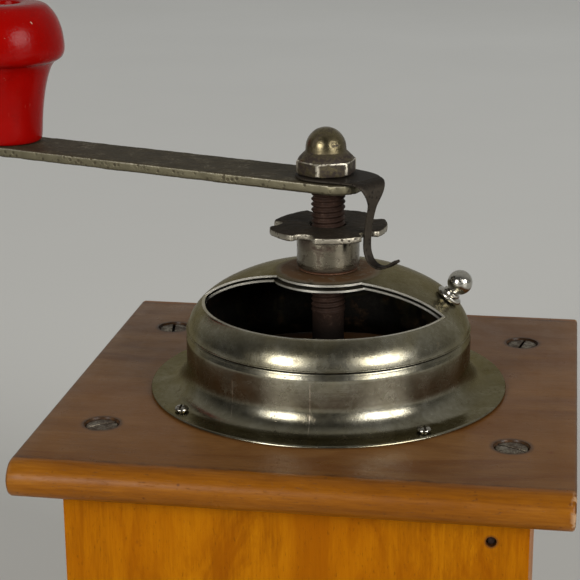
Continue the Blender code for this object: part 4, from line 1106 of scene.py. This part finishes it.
def make_crank():
    half_w, end = 10.0, 11.5
    near = arc(7.0, -90, 0, 10, (end - 7, -3)) + arc(7.0, 0, 90, 10, (end - 7, 3))
    far = arc(half_w, 90, 270, 32, (-ARM_LENGTH, 0))
    seat = [(x, max(-3.6, min(3.6, y))) for x, y in arc(4.2, 0, 350, 35)]
    arm = plate("crank_arm_shape", [near + far, seat, arc(3.1, 0, 348, 29, (-ARM_LENGTH, 0))],
                (ARM_LOW, ARM_TOP), 0.32)
    arm = worked(arm, 0.62, 0.11, 5.0, 9.0, 3)
    placed(arm, (0, 0, ZT), (0, 0, ARM_ANGLE - 180))
    finished(arm, "crank", ARM_STEEL, "crank_arm", angle=75)

    dome = [(0.0, 78.0)] + [(5.9 * math.cos(math.radians(a)), 72.0 + 6.0 * math.sin(math.radians(a)))
                            for a in range(80, 0, -8)]
    dome += [(5.93, 71.6), (6.02, 71.15), (6.6, 70.6), (7.4, 69.8), (8.0, 69.15), (8.1, 68.9), (8.1, 68.5),
             (0, 68.5)]
    cap = lathe("cap", dome, 72)
    hexagon = plate("hexagon", [arc(HEX_ACROSS / math.sqrt(3), 0, 300, 5)], (CAP_FOOT, 69.2))
    placed(hexagon, turn=(0, 0, HEX_ANGLE + 90))
    chamfer = lathe("chamfer",
                    [(0, 69.3), (7.5, 69.3), (7.9, 69.15), (8.95, 68.3), (8.95, 65.3), (8.1, 64.7),
                                (0, 64.7)], 72)
    hexagon = baked(bevelled(cut(hexagon, [chamfer], "INTERSECT"), 0.14, 2, 25))
    cap = placed(cut(hexagon, [cap], "UNION"), (0, 0, -CAP_FOOT))
    placed(cap, (CAP_X, CAP_Y, CAP_FOOT), (0, -0.8, 0))
    bore = lathe("bore", [(0, 72.6), (4.3, 72.6), (4.3, 60), (0, 60)], 48)
    cap = placed(cut(cap, [bore]), (0, 0, ZT))
    cap.name = "cap_nut_shape"
    finished(cap, "crank", CAP_NICKEL, "cap_nut", angle=32)

    x, y = polar(ARM_LENGTH, ARM_ANGLE)
    pin_line = [(0, 106.6), (1.0, 106.57), (1.9, 106.4), (2.6, 106.1), (2.9, 105.75), (2.85, 105.6),
                (1.9, 105.6), (1.9, 64.2), (2.8, 64.2), (2.8, 59.9), (4.4, 59.9), (4.35, 59.3),
                (3.9, 58.75), (2.6, 58.25), (0, 58.1)]
    pin = placed(lathe("handle_pin_shape", pin_line, 56), (x, y, ZT))
    finished(pin, "crank", PIN_STEEL, "handle_pin")

    outer = [
        (11.2, 107.4), (13.1, 106.9), (14.7, 105.8), (16.9, 102.8), (18.4, 98.6), (19.0, 94.2),
        (18.9, 92.0), (18.2, 90.3), (16.9, 89.35), (15.9, 88.8), (14.4, 86.6), (12.9, 82.0), (11.9, 77.0),
        (11.2, 71.5), (10.8, 66.2), (10.6, 64.7), (10.3, 63.95), (9.9, 63.6),
    ]
    grip_line = [(6.2, 107.36), (8.5, 107.4)] + flowing(outer, 4)
    grip_line += [(3.2, 63.6), (3.2, 64.6), (2.3, 64.6), (2.3, 105.2), (5.6, 105.2), (5.8, 105.5),
                  (5.9, 107.1)]
    grip = placed(lathe("handle_grip_shape", grip_line, 120, True), (x, y, ZT))
    finished(grip, "grip", RED_PAINT, "handle_grip", angle=40)


# ------------------------ drawer and kept CAD pieces


def make_drawer_knob():
    low, high = box("drawer_knob")
    outer = [
        (0.0, 18.0), (1.8, 17.9), (3.6, 17.5), (6.6, 16.2), (8.5, 13.7), (9.0, 11.0), (8.1, 8.6),
        (5.7, 6.4), (4.7, 4.2), (5.1, 2.4), (5.9, 0.9), (6.6, 0.0),
    ]
    line = flowing(outer, 4) + [(1.6, 0.0), (1.6, 9.0), (0, 9.0)]
    line[0] = (0.0, 18.0)
    knob = lathe("drawer_knob_shape", [(max(0.0, r), h) for r, h in line], 80)
    placed(knob, ((low.x + high.x) / 2, high.y, (low.z + high.z) / 2), (90, 0, 0))
    finished(knob, "drawer", RED_PAINT, "drawer_knob", angle=45)


def keep(mat, *names, bevel=0.0):
    for name in names:
        obj = NODES[name]
        for slot in obj.material_slots:
            slot.material = mat
        if bevel:
            bevelled(obj, bevel, 2, 35)


make_boards()
make_screws()
make_hopper()
make_spindle()
make_adjuster()
make_catch()
make_crank()
make_drawer_knob()
keep(CASE_WOOD, "front_wall", bevel=0.35)
keep(SIDE_WOOD, "left_wall", "right_wall", "back_wall", bevel=0.35)
keep(DRAWER_WOOD, "drawer_front", bevel=0.3)
keep(BARE_WOOD, "drawer_left", "drawer_right", "drawer_back", "drawer_bottom", bevel=0.3)
keep(IRON, "burr_ring", "burr_cone")
keep(BRIDGE_STEEL, "lower_bridge", "cone_pin", "drawer_knob_screw", "bridge_screw_1", "bridge_screw_2",
     "burr_screw_1", "burr_screw_2", "burr_screw_3")
keep(BRASS, "bridge_bush")


# ------------------------ floor, light, camera


def make_floor():
    bm = bmesh.new()
    bmesh.ops.create_grid(bm, x_segments=2, y_segments=2, size=9.0)
    floor = from_bm(bm, "floor")
    f = Finish("floor_with_painted_shade")
    tone = f.ramp(f.noise(3.0), (0.3, (0.88, 0.89, 0.885)), (0.7, (0.92, 0.93, 0.925)))
    # Darker towards the front, paler behind: painted shade and light laid across the floor.
    depth = f.span(f.parts()[1], -0.3, 1.6)
    f.put("Base Color", f.mix(depth, (0.56, 0.55, 0.52), tone))
    f.put("Roughness", 0.5)
    floor.data.materials.append(f.mat)
    link(floor)


DAYLIGHT = (1.0, 0.99, 0.97)


def area_light(name, azimuth, elevation, distance, size, power):
    data = bpy.data.lights.new(name, "AREA")
    data.shape = "RECTANGLE"
    data.size, data.size_y = size
    data.energy = power
    data.color = DAYLIGHT
    lamp = bpy.data.objects.new(name, data)
    aim = Vector((0.0, 0.0, 0.15))
    a, e = math.radians(azimuth), math.radians(elevation)
    out = Vector((math.cos(a) * math.cos(e), math.sin(a) * math.cos(e), math.sin(e)))
    lamp.location = aim + out * distance
    lamp.rotation_euler = out.to_track_quat("Z", "Y").to_euler()
    lamp.visible_camera = False
    link(lamp)


def make_light():
    area_light("window_left", -117.0, 19.0, 2.6, (0.9, 1.0), 44.0)
    area_light("window_right", -38.0, 19.0, 2.6, (1.4, 1.0), 56.0)
    world = bpy.data.worlds.new("studio")
    bpy.context.scene.world = world
    world.use_nodes = True
    nodes = Nodes(world.node_tree)
    ahead = nodes.parts(nodes.node("ShaderNodeTexCoord").outputs["Generated"])
    behind = nodes.maths("MULTIPLY_ADD", ahead[2], 0.75, ahead[1])
    inputs = {"Value": behind, "From Min": -0.1, "From Max": 0.9}
    depth = nodes.node("ShaderNodeMapRange", inputs, interpolation_type="SMOOTHSTEP").outputs[0]
    glow = nodes.ramp(depth, (0.0, (0.03, 0.03, 0.028)), (1.0, (0.4, 0.395, 0.37)))
    seen = nodes.node("ShaderNodeLightPath").outputs["Is Camera Ray"]
    background = world.node_tree.nodes["Background"]
    nodes.feed(background.inputs["Color"], nodes.mix(seen, glow, (0.75, 0.76, 0.75)))
    background.inputs["Strength"].default_value = 1.0
    bpy.context.scene.view_settings.view_transform = "Standard"


def make_camera():
    data = bpy.data.cameras.new("camera")
    data.sensor_width = 36.0
    data.lens = 102.3114
    data.clip_start, data.clip_end = 0.02, 50.0
    azimuth, elevation, roll = math.radians(9.589), math.radians(16.966), math.radians(-0.399)
    level = math.cos(elevation)
    ahead = Vector((-math.sin(azimuth) * level, math.cos(azimuth) * level, -math.sin(elevation)))
    right = Vector((math.cos(azimuth), math.sin(azimuth), 0.0))
    up = right.cross(ahead)
    right_turned = math.cos(roll) * right + math.sin(roll) * up
    up_turned = -math.sin(roll) * right + math.cos(roll) * up
    camera = bpy.data.objects.new("camera", data)
    spin = Matrix((right_turned, up_turned, -ahead)).transposed().to_4x4()
    camera.matrix_world = Matrix.Translation((0.066534, -0.461682, ZT * MM + 0.171358)) @ spin
    link(camera)
    bpy.context.scene.camera = camera


make_floor()
make_light()
make_camera()
